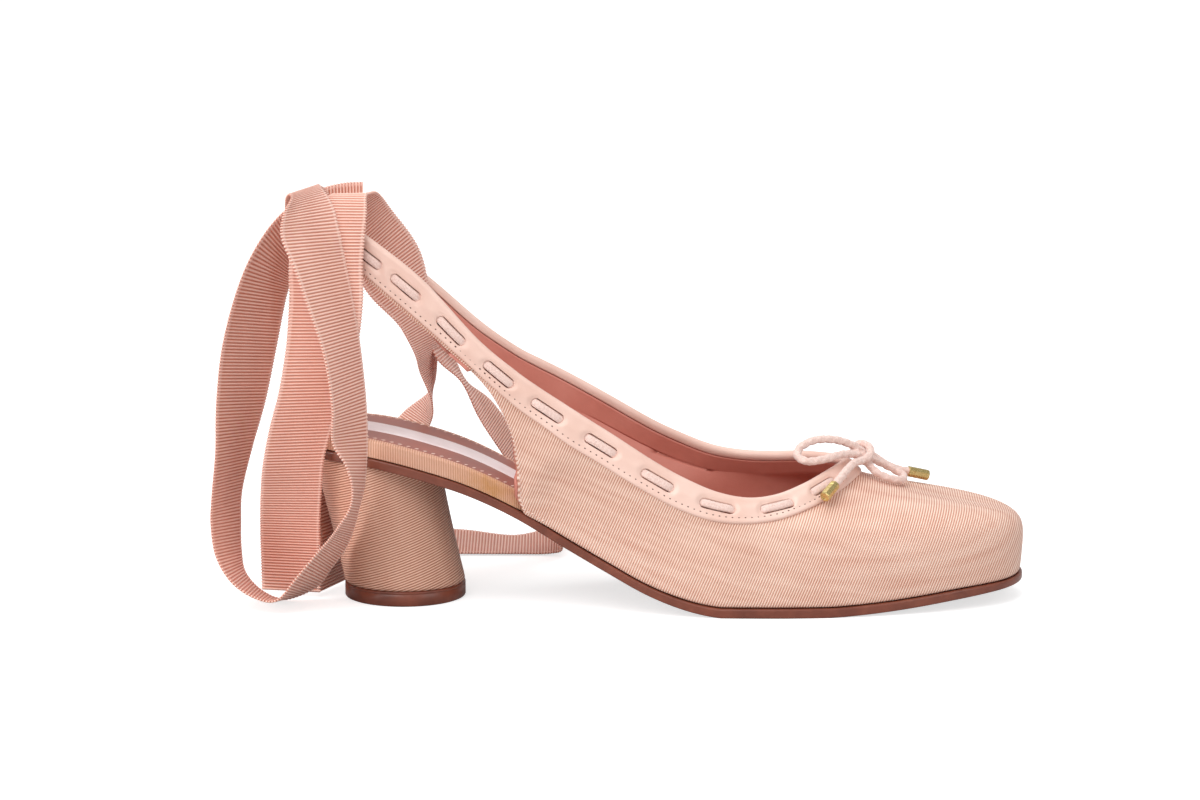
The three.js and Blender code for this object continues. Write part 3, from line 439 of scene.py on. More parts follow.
def band_height(row, side):
    ends = upper_points(row, side, [1.0, 2.0])
    return np.linalg.norm(ends[:, 1] - ends[:, 0], axis=-1)


def band_frames(row, side):
    """Place, along, up and out on the band's middle line."""
    step = 0.02
    row, side = np.asarray(row, float), np.asarray(side, float)
    ahead = band_middle(np.minimum(row + step, LAST_ROW), side)
    behind = band_middle(np.maximum(row - step, 0), side)
    along = unit(ahead - behind)
    ends = upper_points(row, side, [1.0, 2.0])
    up = ends[:, 1] - ends[:, 0]
    up = unit(up - along * np.sum(up * along, -1, keepdims=True))
    out = np.cross(along, up) * -side[:, None]
    return band_middle(row, side), along, up, out


def grid_normals(points):
    along, up = np.gradient(points, axis=0), np.gradient(points, axis=1)
    return unit(np.cross(along, up))


def run_length(points):
    steps = np.linalg.norm(np.diff(points, axis=0), axis=-1)
    return np.concatenate([[0.0], np.cumsum(steps)])


def read_off(places, length, values):
    """Values along a line with the given run length, at places on it."""
    return np.stack([np.interp(places, length, values[:, axis]) for axis in range(3)], -1)


def evenly(points, step):
    """Points at even steps along a smooth line through the given ones."""
    dense = spline_at(points, np.linspace(0, len(points) - 1, DENSE * len(points)))
    length = run_length(dense)
    count = max(2, int(round(length[-1] / step)) + 1)
    places = np.linspace(0, length[-1], count)
    return read_off(places, length, dense), places


def spaced(line, spacing, margin=0.0):
    """Evenly spaced places along a dense line, with the direction there."""
    length = run_length(line)
    near = 0.1
    places = np.arange(margin, length[-1] - margin, spacing)
    direction = read_off(places + near, length, line) - read_off(places - near, length, line)
    return places, read_off(places, length, line), unit(direction)


def turning_frames(points):
    """Two directions across a line, carried along it without twist."""
    along = unit(np.gradient(points, axis=0))
    first = np.array([0.0, 0.0, 1.0]) if abs(along[0][2]) < 0.9 else np.array([1.0, 0.0, 0.0])
    side = unit(np.cross(along[0], first))
    sides = []
    for direction in along:
        side = unit(side - direction * np.dot(side, direction))
        sides.append(side)
    sides = np.array(sides)
    return sides, np.cross(along, sides)


# Meshes

def link_object(name, data):
    made = bpy.data.objects.new(name, data)
    bpy.context.scene.collection.objects.link(made)
    return made


def shade_smooth(mesh, smooth=True):
    mesh.polygons.foreach_set("use_smooth", [smooth] * len(mesh.polygons))


def add_mesh(name, points, faces, material, uv=None):
    mesh = bpy.data.meshes.new(name)
    mesh.from_pydata((np.asarray(points) * MM).tolist(), [], faces)
    if uv is not None:
        layer = mesh.uv_layers.new(name="UVMap")
        loops = np.zeros(len(mesh.loops), np.int32)
        mesh.loops.foreach_get("vertex_index", loops)
        layer.data.foreach_set("uv", (np.asarray(uv)[loops] * UV_SCALE).astype(np.float32).ravel())
    mesh.materials.append(material)
    shade_smooth(mesh)
    return link_object(name, mesh)


def settle(piece):
    """Merges doubles and turns all faces outwards on a closed shape."""
    merge = 0.000002
    work = bmesh.new()
    work.from_mesh(piece.data)
    bmesh.ops.remove_doubles(work, verts=work.verts, dist=merge)
    bmesh.ops.dissolve_degenerate(work, dist=merge / 4, edges=work.edges)
    bmesh.ops.recalc_face_normals(work, faces=work.faces)
    work.to_mesh(piece.data)
    work.free()
    return piece


def ring_faces(rows, columns):
    """Four-sided faces between neighbouring rings of points."""
    i, j = np.meshgrid(np.arange(rows - 1) * columns, np.arange(columns), indexing="ij")
    i, j = i.ravel(), j.ravel()
    next_i, next_j = i + columns, (j + 1) % columns
    return np.stack([i + j, next_i + j, next_i + next_j, i + next_j], -1).tolist()


def closed_section_piece(name, sections, material, uv=None, caps=True):
    """A solid swept through closed sections, an array of rows, places round the section and x, y, z."""
    rows, columns = sections.shape[:2]
    faces = ring_faces(rows, columns)
    if caps:
        faces.append(list(range(columns)))
        faces.append([(rows - 1) * columns + k for k in range(columns - 1, -1, -1)])
    flat_uv = None if uv is None else uv.reshape(-1, 2)
    return settle(add_mesh(name, sections.reshape(-1, 3), faces, material, flat_uv))


def shell_piece(name, outer, inner, material, uv):
    """A closed skin between an outer and an inner grid of points."""
    sections = np.concatenate([outer, inner[:, ::-1]], 1)
    return closed_section_piece(name, sections, material, np.concatenate([uv, uv[:, ::-1]], 1))


def finished_mesh(piece):
    """The piece's mesh with its modifiers worked in."""
    bpy.context.view_layer.update()
    return bpy.data.meshes.new_from_object(piece.evaluated_get(bpy.context.evaluated_depsgraph_get()))


def carry(piece, slot, *nodes):
    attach(piece, "root")
    if nodes:
        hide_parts(*nodes)
    return piece


# Shading

def plug(tree, socket, value):
    """Links another socket into this one, or sets a constant on it."""
    if isinstance(value, bpy.types.NodeSocket):
        tree.links.new(value, socket)
    elif value is not None:
        socket.default_value = value


def put(tree, kind, *values, **settings):
    made = tree.nodes.new(kind)
    for key, value in settings.items():
        setattr(made, key, value)
    for socket, value in zip(made.inputs, values):
        plug(tree, socket, value)
    return made


def maths(tree, operation, *values):
    return put(tree, "ShaderNodeMath", *values, operation=operation).outputs[0]


def noise(tree, place, scale, detail, rough):
    return put(tree, "ShaderNodeTexNoise", place, None, scale, detail, rough).outputs[0]


def spread_over(tree, value, low, high, at_low, at_high):
    """A value's range from low to high, spread over another range."""
    return put(tree, "ShaderNodeMapRange", value, low, high, at_low, at_high).outputs[0]


def feed(tree, node, **sockets):
    for name, value in sockets.items():
        plug(tree, node.inputs[name.replace("_", " ")], value)


def new_group(name, inputs, outputs):
    group = bpy.data.node_groups.new(name, "ShaderNodeTree")
    for label, socket_type, value in inputs:
        socket = group.interface.new_socket(label, in_out="INPUT", socket_type=socket_type)
        if value is not None:
            socket.default_value = value
    for label, socket_type in outputs:
        group.interface.new_socket(label, in_out="OUTPUT", socket_type=socket_type)
    return group, group.nodes.new("NodeGroupInput"), group.nodes.new("NodeGroupOutput")


FLOAT, VECTOR = "NodeSocketFloat", "NodeSocketVector"


def make_weave_group():
    """Ribs of a cloth with yarns along them and soft streaks, on a UV map of millimetres times UV_SCALE."""
    group, given, result = new_group(
        "ribbed_weave",
        [("UV", VECTOR, None), ("Pitch", FLOAT, 0.7), ("Yarn", FLOAT, 0.35), ("Wander", FLOAT, 0.1),
         ("Streak", FLOAT, 3.5)],
        [("Height", FLOAT), ("Streaks", FLOAT), ("Fibre", FLOAT)],
    )
    streak_length = 7.0
    split = put(group, "ShaderNodeSeparateXYZ", given.outputs["UV"])
    u = maths(group, "MULTIPLY", split.outputs[0], 1 / UV_SCALE)
    v = maths(group, "MULTIPLY", split.outputs[1], 1 / UV_SCALE)

    def field(u_value, v_value, detail, rough):
        place = put(group, "ShaderNodeCombineXYZ", u_value, v_value, 0.0)
        return noise(group, place.outputs[0], 1.0, detail, rough)

    drift = field(maths(group, "MULTIPLY", u, 0.05), maths(group, "MULTIPLY", v, 0.08), 2.0, 0.5)
    shifted = maths(group, "ADD", u, maths(group, "MULTIPLY", drift, given.outputs["Wander"]))
    turns = maths(group, "MULTIPLY", maths(group, "DIVIDE", shifted, given.outputs["Pitch"]), 2 * math.pi)
    rib = maths(group, "MULTIPLY_ADD", maths(group, "COSINE", turns), 0.5, 0.5)
    yarn_turns = maths(group, "MULTIPLY", maths(group, "DIVIDE", v, given.outputs["Yarn"]), 2 * math.pi)
    swing = maths(group, "SINE", maths(group, "ADD", yarn_turns, turns))
    yarn = maths(group, "MULTIPLY_ADD", swing, 0.5, 0.5)
    height = maths(group, "MULTIPLY", rib, maths(group, "MULTIPLY_ADD", yarn, 0.2, 0.8))
    across = maths(group, "DIVIDE", v, given.outputs["Streak"])
    along = maths(group, "DIVIDE", u, maths(group, "MULTIPLY", given.outputs["Streak"], streak_length))
    streaks = field(along, across, 2.0, 0.45)
    fibre = field(maths(group, "MULTIPLY", u, 4.0), maths(group, "MULTIPLY", v, 0.7), 3.0, 0.6)
    feed(group, result, Height=height, Streaks=streaks, Fibre=fibre)
    return group


def make_grain_group():
    """Leather grain, soft mottling and rubbed places, on the piece's own coordinates."""
    group, given, result = new_group(
        "leather_grain",
        [("Vector", VECTOR, None), ("Grain", FLOAT, 900.0), ("Mottle", FLOAT, 60.0)],
        [("Height", FLOAT), ("Tone", FLOAT), ("Wear", FLOAT)],
    )
    place = given.outputs["Vector"]
    cells = put(group, "ShaderNodeTexVoronoi", place, None, given.outputs["Grain"]).outputs[0]
    fine = noise(group, place, given.outputs["Grain"], 3.0, 0.6)
    height = maths(group, "MULTIPLY_ADD", fine, 0.6, maths(group, "MULTIPLY", cells, 0.5))
    tone = noise(group, place, given.outputs["Mottle"], 4.0, 0.55)
    rubbed = noise(group, place, 240.0, 2.0, 0.5)
    wear = spread_over(group, rubbed, 0.52, 0.75, 0.0, 1.0)
    feed(group, result, Height=height, Tone=tone, Wear=wear)
    return group


WEAVE = make_weave_group()
GRAIN = make_grain_group()


def use_group(tree, group, **sockets):
    node = tree.nodes.new("ShaderNodeGroup")
    node.node_tree = group
    feed(tree, node, **sockets)
    return node.outputs


def srgb(r, g, b):
    def linear(value):
        value /= 255.0
        return value / 12.92 if value <= 0.04045 else ((value + 0.055) / 1.055) ** 2.4
    return (linear(r), linear(g), linear(b), 1.0)


def blank_material(name, roughness, **constants):
    material = bpy.data.materials.new(name)
    material.use_nodes = True
    tree = material.node_tree
    shader = tree.nodes["Principled BSDF"]
    feed(tree, shader, Roughness=roughness, **constants)
    return material, tree, shader


def ramp(tree, factor, *stops):
    made = put(tree, "ShaderNodeValToRGB", factor)
    while len(made.color_ramp.elements) < len(stops):
        made.color_ramp.elements.new(0.5)
    for element, (place, colour) in zip(made.color_ramp.elements, stops):
        element.position = place
        element.color = colour
    return made.outputs[0]


def blend_colour(tree, factor, a, b):
    node = tree.nodes.new("ShaderNodeMix")
    node.data_type = "RGBA"
    for index, value in ((0, factor), (6, a), (7, b)):
        plug(tree, node.inputs[index], value)
    return node.outputs[2]


def bumped(tree, height, strength, depth):
    bump = put(tree, "ShaderNodeBump", strength, depth)
    tree.links.new(height, bump.inputs["Height"])
    return bump.outputs[0]


def add_edge_highlight(tree, colour, uv, from_middle, tint):
    """Painted highlight: a paler line along both edges of a ribbon, where the raised selvedge catches the
    light.
    """
    split = put(tree, "ShaderNodeSeparateXYZ", uv)
    side = maths(tree, "ABSOLUTE", maths(tree, "MULTIPLY", split.outputs[1], 1 / UV_SCALE))
    away = maths(tree, "ABSOLUTE", maths(tree, "SUBTRACT", side, from_middle))
    return blend_colour(tree, spread_over(tree, away, 0.2, 0.7, 0.55, 0.0), colour, tint)


def add_stain(tree, colour, place, middle, size, tint):
    """A speckled stain that fades out round one spot."""
    offset = put(tree, "ShaderNodeVectorMath", place, middle, operation="DISTANCE")
    near = spread_over(tree, offset.outputs["Value"], size, 0.0, 0.0, 1.3)
    mask = maths(tree, "MULTIPLY", near, noise(tree, place, 300.0, 3.0, 0.6))
    return blend_colour(tree, mask, colour, tint)


def cloth_material(
    name, shades, pitch, yarn, wander, streak, painted_rib_shade, streaks, sheen=0.15, stain=None, selvedge=None,
):
    """Ribbed cloth in three shades; pitch, yarn and streak are in millimetres. The darkest shade falls in the
    grooves between ribs and the lightest on the rib tops: painted shade and painted highlight.
    """
    material, tree, shader = blank_material(name, 0.62, Sheen_Weight=sheen, Sheen_Roughness=0.4)
    place = put(tree, "ShaderNodeTexCoord").outputs
    weave = use_group(tree, WEAVE, UV=place["UV"], Pitch=pitch, Yarn=yarn, Wander=wander, Streak=streak)
    fibre, rib_middle = 0.12, 0.45
    # Painted shade and highlight: the rib height darkens the grooves and lightens the rib tops in the colour.
    tone = maths(tree, "MULTIPLY_ADD", weave["Height"], painted_rib_shade, (1 - streaks - fibre) / 2 - rib_middle * painted_rib_shade)
    tone = maths(tree, "ADD", tone, maths(tree, "MULTIPLY", weave["Streaks"], streaks))
    tone = maths(tree, "ADD", tone, maths(tree, "MULTIPLY", weave["Fibre"], fibre))
    colour = ramp(tree, tone, *zip((0.0, 0.5, 1.0), shades))
    # Paler ribbon edges: painted highlight.
    if selvedge is not None:
        colour = add_edge_highlight(tree, colour, place["UV"], *selvedge)
    if stain is not None:
        colour = add_stain(tree, colour, place["Object"], *stain)
    feed(tree, shader, Base_Color=colour, Normal=bumped(tree, weave["Height"], 0.55, 0.0003),
         Roughness=spread_over(tree, weave["Streaks"], 0.3, 0.7, 0.68, 0.52))
    return material


def leather_material(name, dark, light, grain, mottle, rough, depth, worn=None, coat=0.0, sheen=0.0):
    """Leather or thread between two shades; grain and mottle are noise scales, depth in metres."""
    finish = {"Coat_Weight": coat, "Coat_Roughness": 0.25, "Sheen_Weight": sheen}
    material, tree, shader = blank_material(name, rough, **finish)
    place = put(tree, "ShaderNodeTexCoord").outputs["Object"]
    group = use_group(tree, GRAIN, Vector=place, Grain=grain, Mottle=mottle)
    colour = ramp(tree, group["Tone"], (0.3, dark), (0.7, light))
    if worn is not None:
        colour = blend_colour(tree, maths(tree, "MULTIPLY", group["Wear"], 0.5), colour, worn)
    uneven = 0.06
    feed(tree, shader, Base_Color=colour, Normal=bumped(tree, group["Height"], 0.4, depth),
         Roughness=spread_over(tree, group["Tone"], 0.3, 0.7, rough - uneven, rough + uneven))
    return material


def make_cord_material():
    material, tree, shader = blank_material("fuzzy_braided_cord", 0.75, Sheen_Weight=0.6, Sheen_Roughness=0.5)
    fuzz = noise(tree, put(tree, "ShaderNodeTexCoord").outputs["Object"], 1800.0, 4.0, 0.7)
    colour = ramp(tree, fuzz, (0.3, srgb(222, 184, 172)), (0.7, srgb(246, 220, 210)))
    feed(tree, shader, Base_Color=colour, Normal=bumped(tree, fuzz, 0.6, 0.0002))
    return material


def make_gilt_material():
    material, tree, shader = blank_material("pale_gold_metal", 0.24, Metallic=1.0)
    brushed = noise(tree, put(tree, "ShaderNodeTexCoord").outputs["Object"], 1500.0, 3.0, 0.6)
    colour = ramp(tree, brushed, (0.3, srgb(196, 170, 104)), (0.7, srgb(226, 206, 148)))
    feed(tree, shader, Base_Color=colour, Roughness=spread_over(tree, brushed, 0.3, 0.7, 0.2, 0.34))
    return material


# In each cloth the darkest shade goes in the rib grooves and the lightest on the rib tops: painted shade and
# painted highlight, mixed with the streaks and fibre.
upper_cloth = cloth_material(
    "peach_ribbed_cloth", (srgb(188, 124, 102), srgb(236, 188, 166), srgb(255, 230, 214)),
    pitch=0.92, yarn=0.4, wander=0.2, streak=3.6, painted_rib_shade=0.95, streaks=0.5,
)
heel_cloth = cloth_material(
    "heel_ribbed_cloth", (srgb(160, 98, 74), srgb(214, 156, 130), srgb(246, 206, 184)),
    pitch=0.92, yarn=0.4, wander=0.15, streak=6.0, painted_rib_shade=1.0, streaks=0.2,
)
rim_cloth = cloth_material(
    "rim_ribbed_cloth", (srgb(184, 124, 96), srgb(224, 170, 142), srgb(244, 204, 180)),
    pitch=0.84, yarn=0.4, wander=0.2, streak=6.0, painted_rib_shade=0.6, streaks=0.3,
    stain=((0.031, -0.0262, 0.0425), 0.017, srgb(196, 136, 72)),
)
ribbon_cloth = cloth_material(
    "salmon_grosgrain", (srgb(190, 114, 92), srgb(236, 172, 152), srgb(255, 222, 208)),
    pitch=RIB_PITCH, yarn=0.5, wander=0.0, streak=14.0, painted_rib_shade=1.0, streaks=0.2, sheen=0.2,
    # The paler edge line is a painted highlight on the selvedge.
    selvedge=(11.6, srgb(250, 212, 198)),
)
band_leather = leather_material(
    "pale_pink_leather", srgb(230, 190, 174), srgb(244, 210, 196),
    grain=1400.0, mottle=50.0, rough=0.4, depth=0.00005, sheen=0.1,
)
lining_leather = leather_material(
    "salmon_lining", srgb(206, 124, 108), srgb(222, 146, 130),
    grain=900.0, mottle=40.0, rough=0.5, depth=0.0001,
)
sole_leather = leather_material(
    "brown_sole_leather", srgb(104, 50, 34), srgb(134, 70, 50),
    grain=700.0, mottle=90.0, rough=0.36, depth=0.00008, worn=srgb(142, 80, 58), coat=0.15,
)
sock_leather = leather_material(
    "mauve_brown_leather", srgb(150, 92, 82), srgb(172, 110, 98),
    grain=800.0, mottle=60.0, rough=0.42, depth=0.0001,
)
strip_leather = leather_material(
    "pinkish_white_strip", srgb(238, 222, 222), srgb(250, 240, 240),
    grain=1400.0, mottle=80.0, rough=0.45, depth=0.00004,
)
thread = leather_material(
    "pale_thread", srgb(226, 190, 176), srgb(246, 222, 210),
    grain=3000.0, mottle=400.0, rough=0.7, depth=0.00004,
)
# Painted shade: the dark colour of the needle-hole marks stands for the shade inside the holes.
painted_hole_shade = leather_material(
    "needle_hole", srgb(78, 42, 34), srgb(100, 58, 48),
    grain=2000.0, mottle=300.0, rough=0.8, depth=0.00002,
)
cord_yarn = make_cord_material()
gilt_metal = make_gilt_material()


# Camera at the photo's angle

def make_camera():
    rise = math.radians(CAMERA_RISE)
    way = Vector((0.0, -math.cos(rise), math.sin(rise)))
    data = bpy.data.cameras.new("photo_camera")
    data.sensor_width = 36.0
    data.lens = data.sensor_width * CAMERA_DISTANCE / CAMERA_VIEW_WIDTH
    camera = link_object("photo_camera", data)
    camera.location = Vector(CAMERA_AIM) * MM + way * CAMERA_DISTANCE
    camera.rotation_euler = (-way).to_track_quat("-Z", "Y").to_euler()
    bpy.context.scene.camera = camera


make_camera()


# Bow

def braided_tube(name, points):
    line, places = evenly(np.array(points, float), BRAID_STEP)
    across, up = turning_frames(line)
    angle = np.linspace(0, 2 * math.pi, BRAID_SIDES, endpoint=False)
    turn = 2 * math.pi * places[:, None] / BRAID_LAY
    twist = BRAID_STRANDS * angle / 2
    relief = np.maximum(np.cos(turn + twist), np.cos(turn - twist + math.pi))
    r = CORD / 2 - BRAID_DEPTH + BRAID_DEPTH * relief
    ring = across[:, None] * np.cos(angle)[None, :, None] + up[:, None] * np.sin(angle)[None, :, None]
    return closed_section_piece(name, line[:, None] + ring * r[..., None], cord_yarn), line


def make_cord(name, node, points):
    piece, line = braided_tube(name, points)
    carry(piece, "band_leather", node)


def make_tip(name, node, points):
    """Faceted barrel over the end of a cord, with a bevelled mouth, a groove and a flat end."""
    end, before = np.array(points[0], float), np.array(points[1], float)
    way = unit(end - before)
    across = unit(np.cross(way, (0.0, 0.0, 1.0)))
    up = np.cross(across, way)
    half = FERRULE_ACROSS / 2
    far = FERRULE_LENGTH
    profile = [
        (-0.6, 0.80), (-0.6, 0.96), (-0.3, 1.0), (0.9, 1.0), (1.0, 0.93), (1.3, 0.93), (1.4, 1.0),
        (far - 0.35, 1.0), (far, 0.9), (far, 0.6), (far - 0.25, 0.5),
    ]
    angle = np.linspace(0, 2 * math.pi, 8, endpoint=False) + math.pi / 8
    ring = across * np.cos(angle)[:, None] + up * np.sin(angle)[:, None]
    sections = np.array([end + way * (place + FIT_GAP) + ring * half * size for place, size in profile])
    piece = closed_section_piece(name, sections, gilt_metal)
    shade_smooth(piece.data, False)
    carry(piece, "gilt_metal", node)


def make_knot():
    ridges, ridge_height, ridge_twist = 9, 0.05, 6
    work = bmesh.new()
    bmesh.ops.create_uvsphere(work, u_segments=32, v_segments=20, radius=1.0)
    lean = math.radians(KNOT_LEAN)
    for vertex in work.verts:
        x, y, z = vertex.co
        ridge = 1 + ridge_height * math.cos(ridges * math.atan2(y, x) + ridge_twist * z)
        x, y, z = KNOT_RADII[0] * x * ridge, KNOT_RADII[1] * y * ridge, KNOT_RADII[2] * z
        vertex.co = (
            (KNOT_MIDDLE[0] + x * math.cos(lean) + z * math.sin(lean)) * MM,
            (KNOT_MIDDLE[1] + y) * MM,
            (KNOT_MIDDLE[2] - x * math.sin(lean) + z * math.cos(lean)) * MM,
        )
    mesh = bpy.data.meshes.new("knot_core")
    work.to_mesh(mesh)
    work.free()
    mesh.materials.append(cord_yarn)
    shade_smooth(mesh)
    carry(link_object("knot_core", mesh), "band_leather", "bow_knot")


make_tip("near_tip", "bow_tip_near", BOW_END_NEAR)
make_tip("far_tip", "bow_tip_far", BOW_END_FAR)
make_cord("near_loop", "bow_loop_near", BOW_LOOP_NEAR)
make_cord("far_loop", "bow_loop_far", BOW_LOOP_FAR)
make_cord("near_end", "bow_end_near", BOW_END_NEAR[::-1])
make_cord("far_end", "bow_end_far", BOW_END_FAR[::-1])
make_knot()


# Sole, insole and heel

def plate_piece(name, material, inset, low, high, edge_low, edge_high):
    """A layer that follows the plan with rounded lower and upper edges."""
    ease = np.linspace(0, 1, PLATE_STEPS)
    t = TOE_END * (ease - PLATE_CROWDING * np.sin(2 * math.pi * ease))
    turn = np.linspace(0, math.pi / 2, 6)
    profile = [(edge_low * (1 - math.sin(a)), edge_low * (1 - math.cos(a)), True) for a in turn]
    profile += [(edge_high * (1 - math.sin(a)), edge_high * (1 - math.cos(a)), False) for a in turn[::-1]]
    edges = []
    for side in (-1, 1):
        line = []
        for step_in, drop, from_low in profile:
            point = edge_point(t, side, inset(t) + step_in)
            x = point[:, 0]
            height = low(x) + drop if from_low else high(x) - drop
            point[:, 2] = sole_z(x) + height
            line.append(point)
        edges.append(np.stack(line, 1))
    near, far = edges
    f = np.linspace(0, 1, PLATE_ACROSS + 1)[1:-1][None, :, None]
    top = mix(near[:, -1:], far[:, -1:], f)
    top[..., 2] = sole_z(top[..., 0]) + high(top[..., 0])
    bottom = mix(far[:, :1], near[:, :1], f)
    bottom[..., 2] = sole_z(bottom[..., 0]) + low(bottom[..., 0])
    sections = np.concatenate([near, top, far[:, ::-1], bottom], 1)
    gaps = np.linalg.norm(np.diff(sections, axis=1), axis=-1)
    round_way = np.concatenate([np.zeros((PLATE_STEPS, 1)), np.cumsum(gaps, 1)], 1)
    along_way = run_length(near[:, 0])[:, None] + 0 * round_way
    return closed_section_piece(name, sections, material, np.stack([along_way, round_way], -1), caps=False)


def make_outsole():
    piece = plate_piece(
        "outsole_leather", sole_leather, lambda t: 0.0 * t, lambda x: 0.0 * x, outsole_thick, 0.5, 0.7,
    )
    carry(piece, "sole_leather", "outsole")


def make_insole_rim():
    piece = plate_piece("insole_rim", rim_cloth, board_inset, board_bottom, board_top, 0.5, 1.1)
    carry(piece, "ribbed_fabric", "insole_board")


def make_sock():
    piece = plate_piece(
        "sock_cover", sock_leather, sock_inset,
        lambda x: board_top(x) - SOCK_THICK, lambda x: board_top(x) + SOCK_PROUD, 0.1, 0.35,
    )
    carry(piece, "sock_leather", "insole_sock")


make_outsole()
make_insole_rim()
make_sock()


def make_heel():
    heights = np.concatenate([[0.0, 0.02, 0.06], np.linspace(0.12, 0.94, 22), [0.975, 1.0]])
    angle = np.linspace(0, 2 * math.pi, HEEL_SIDES, endpoint=False)
    seat_x = -HEEL_SEAT_BACK + HEEL_SEAT_RADIUS * np.cos(angle)
    sections = []
    for f in heights:
        radius = mix(HEEL_FOOT_RADIUS, HEEL_SEAT_RADIUS, f) - HEEL_WAIST * math.sin(math.pi * f)
        radius -= HEEL_FOOT_ROUND * max(0.0, 1 - f / 0.03) ** 2
        x = -HEEL_SEAT_BACK * f + radius * np.cos(angle)
        z = mix(HEEL_LIFT_THICK + FIT_GAP, sole_z(seat_x) - HEEL_SEAT_CLEAR, f)
        sections.append(np.stack([x, radius * np.sin(angle), z], -1))
    sections = np.array(sections)
    around = np.broadcast_to(angle * HEEL_SEAT_RADIUS, sections.shape[:2])
    uv = np.stack([sections[..., 2] - HEEL_RIB_RISE * sections[..., 0], around], -1)
    carry(closed_section_piece("heel_cover", sections, heel_cloth, uv), "ribbed_fabric", "heel_block")


make_heel()


def make_heel_top():
    """Round top piece with a worn rim and a groove: heights and growths of its radius."""
    high = HEEL_LIFT_THICK
    steps = [(0.0, -0.6), (0.15, -0.25), (0.5, 0.0), (high - 1.0, 0.0), (high - 0.9, -0.12),
             (high - 0.6, -0.12), (high - 0.5, 0.0), (high - 0.1, -0.05), (high + 0.1, -0.3)]
    angle = np.linspace(0, 2 * math.pi, 96, endpoint=False)
    circle = np.stack([np.cos(angle), np.sin(angle), 0 * angle], -1)
    sections = np.array([circle * (HEEL_FOOT_RADIUS + grow) + (0.0, 0.0, z) for z, grow in steps])
    carry(closed_section_piece("heel_lift", sections, sole_leather), "sole_leather", "heel_top_piece")


make_heel_top()

# Marks that repeat: stitches and needle holes

def make_marks_tree():
    tree = bpy.data.node_groups.new("rounded_marks", "GeometryNodeTree")
    for label, kind, value in (
        ("Geometry", "NodeSocketGeometry", None), ("Length", FLOAT, 0.001), ("Width", FLOAT, 0.0004),
        ("Height", FLOAT, 0.0003), ("Uneven", FLOAT, MARK_UNEVEN), ("Seed", "NodeSocketInt", MARK_SEED),
        ("Material", "NodeSocketMaterial", None),
    ):
        socket = tree.interface.new_socket(label, in_out="INPUT", socket_type=kind)
        if value is not None:
            socket.default_value = value
    tree.interface.new_socket("Geometry", in_out="OUTPUT", socket_type="NodeSocketGeometry")
    given, result = tree.nodes.new("NodeGroupInput"), tree.nodes.new("NodeGroupOutput")
    ball = put(tree, "GeometryNodeMeshUVSphere", 8, 5, 0.5)
    sizes = [given.outputs[label] for label in ("Length", "Width", "Height")]
    size = put(tree, "ShaderNodeCombineXYZ", *sizes)
    shaped = put(tree, "GeometryNodeTransform", ball.outputs[0])
    tree.links.new(size.outputs[0], shaped.inputs["Scale"])
    out_way = put(tree, "GeometryNodeInputNamedAttribute", "outward", data_type="FLOAT_VECTOR")
    along_way = put(tree, "GeometryNodeInputNamedAttribute", "along", data_type="FLOAT_VECTOR")
    up = tree.nodes.new("FunctionNodeAlignRotationToVector")
    up.axis = "Z"
    tree.links.new(out_way.outputs[0], up.inputs["Vector"])
    turn = tree.nodes.new("FunctionNodeAlignRotationToVector")
    turn.axis = "X"
    turn.pivot_axis = "Z"
    tree.links.new(up.outputs[0], turn.inputs["Rotation"])
    tree.links.new(along_way.outputs[0], turn.inputs["Vector"])
    vary = tree.nodes.new("FunctionNodeRandomValue")
    vary.data_type = "FLOAT"
    low = maths(tree, "SUBTRACT", 1.0, given.outputs["Uneven"])
    tree.links.new(low, vary.inputs[2])
    vary.inputs[3].default_value = 1.0
    tree.links.new(given.outputs["Seed"], vary.inputs["Seed"])
    spread = tree.nodes.new("GeometryNodeInstanceOnPoints")
    tree.links.new(given.outputs["Geometry"], spread.inputs["Points"])
    tree.links.new(shaped.outputs[0], spread.inputs["Instance"])
    tree.links.new(turn.outputs[0], spread.inputs["Rotation"])
    tree.links.new(vary.outputs[1], spread.inputs["Scale"])
    real = put(tree, "GeometryNodeRealizeInstances", spread.outputs[0])
    shade = tree.nodes.new("GeometryNodeSetMaterial")
    tree.links.new(real.outputs[0], shade.inputs["Geometry"])
    tree.links.new(given.outputs["Material"], shade.inputs["Material"])
    tree.links.new(shade.outputs[0], result.inputs[0])
    return tree


MARKS = make_marks_tree()


def make_marks(name, places, outward, along, size, material, slot):
    """One mark a place, its length along and its height outward; sizes in millimetres."""
    mesh = bpy.data.meshes.new(name)
    mesh.from_pydata((np.asarray(places) * MM).tolist(), [], [])
    for label, values in (("outward", outward), ("along", along)):
        layer = mesh.attributes.new(label, "FLOAT_VECTOR", "POINT")
        layer.data.foreach_set("vector", np.asarray(values, np.float32).ravel())
    source = link_object(name + "_places", mesh)
    modifier = source.modifiers.new("marks", "NODES")
    modifier.node_group = MARKS
    values = {"Length": size[0] * MM, "Width": size[1] * MM, "Height": size[2] * MM, "Uneven": MARK_UNEVEN,
              "Seed": MARK_SEED, "Material": material}
    for item in MARKS.interface.items_tree:
        if item.in_out == "INPUT" and item.name in values:
            modifier[item.identifier] = values[item.name]
    result = finished_mesh(source)
    result.name = name
    bpy.data.objects.remove(source)
    shade_smooth(result)
    carry(link_object(name, result), slot)


def sock_line(side):
    t = np.linspace(0.05, 16.0, 900)
    point = edge_point(t, side, sock_inset(t) + SOCK_STITCH_INSET)
    point[:, 2] = sole_z(point[:, 0]) + board_top(point[:, 0]) + MARK_PROUD
    return point


def make_sock_stitches():
    line = np.concatenate([sock_line(-1)[::-1], sock_line(1)])
    _, points, along = spaced(line, SOCK_STITCH_SPACING)
    outward = np.broadcast_to((0.0, 0.0, 1.0), points.shape)
    make_marks("sock_stitches", points, outward, along, SOCK_STITCH, thread, "sock_leather")


make_sock_stitches()


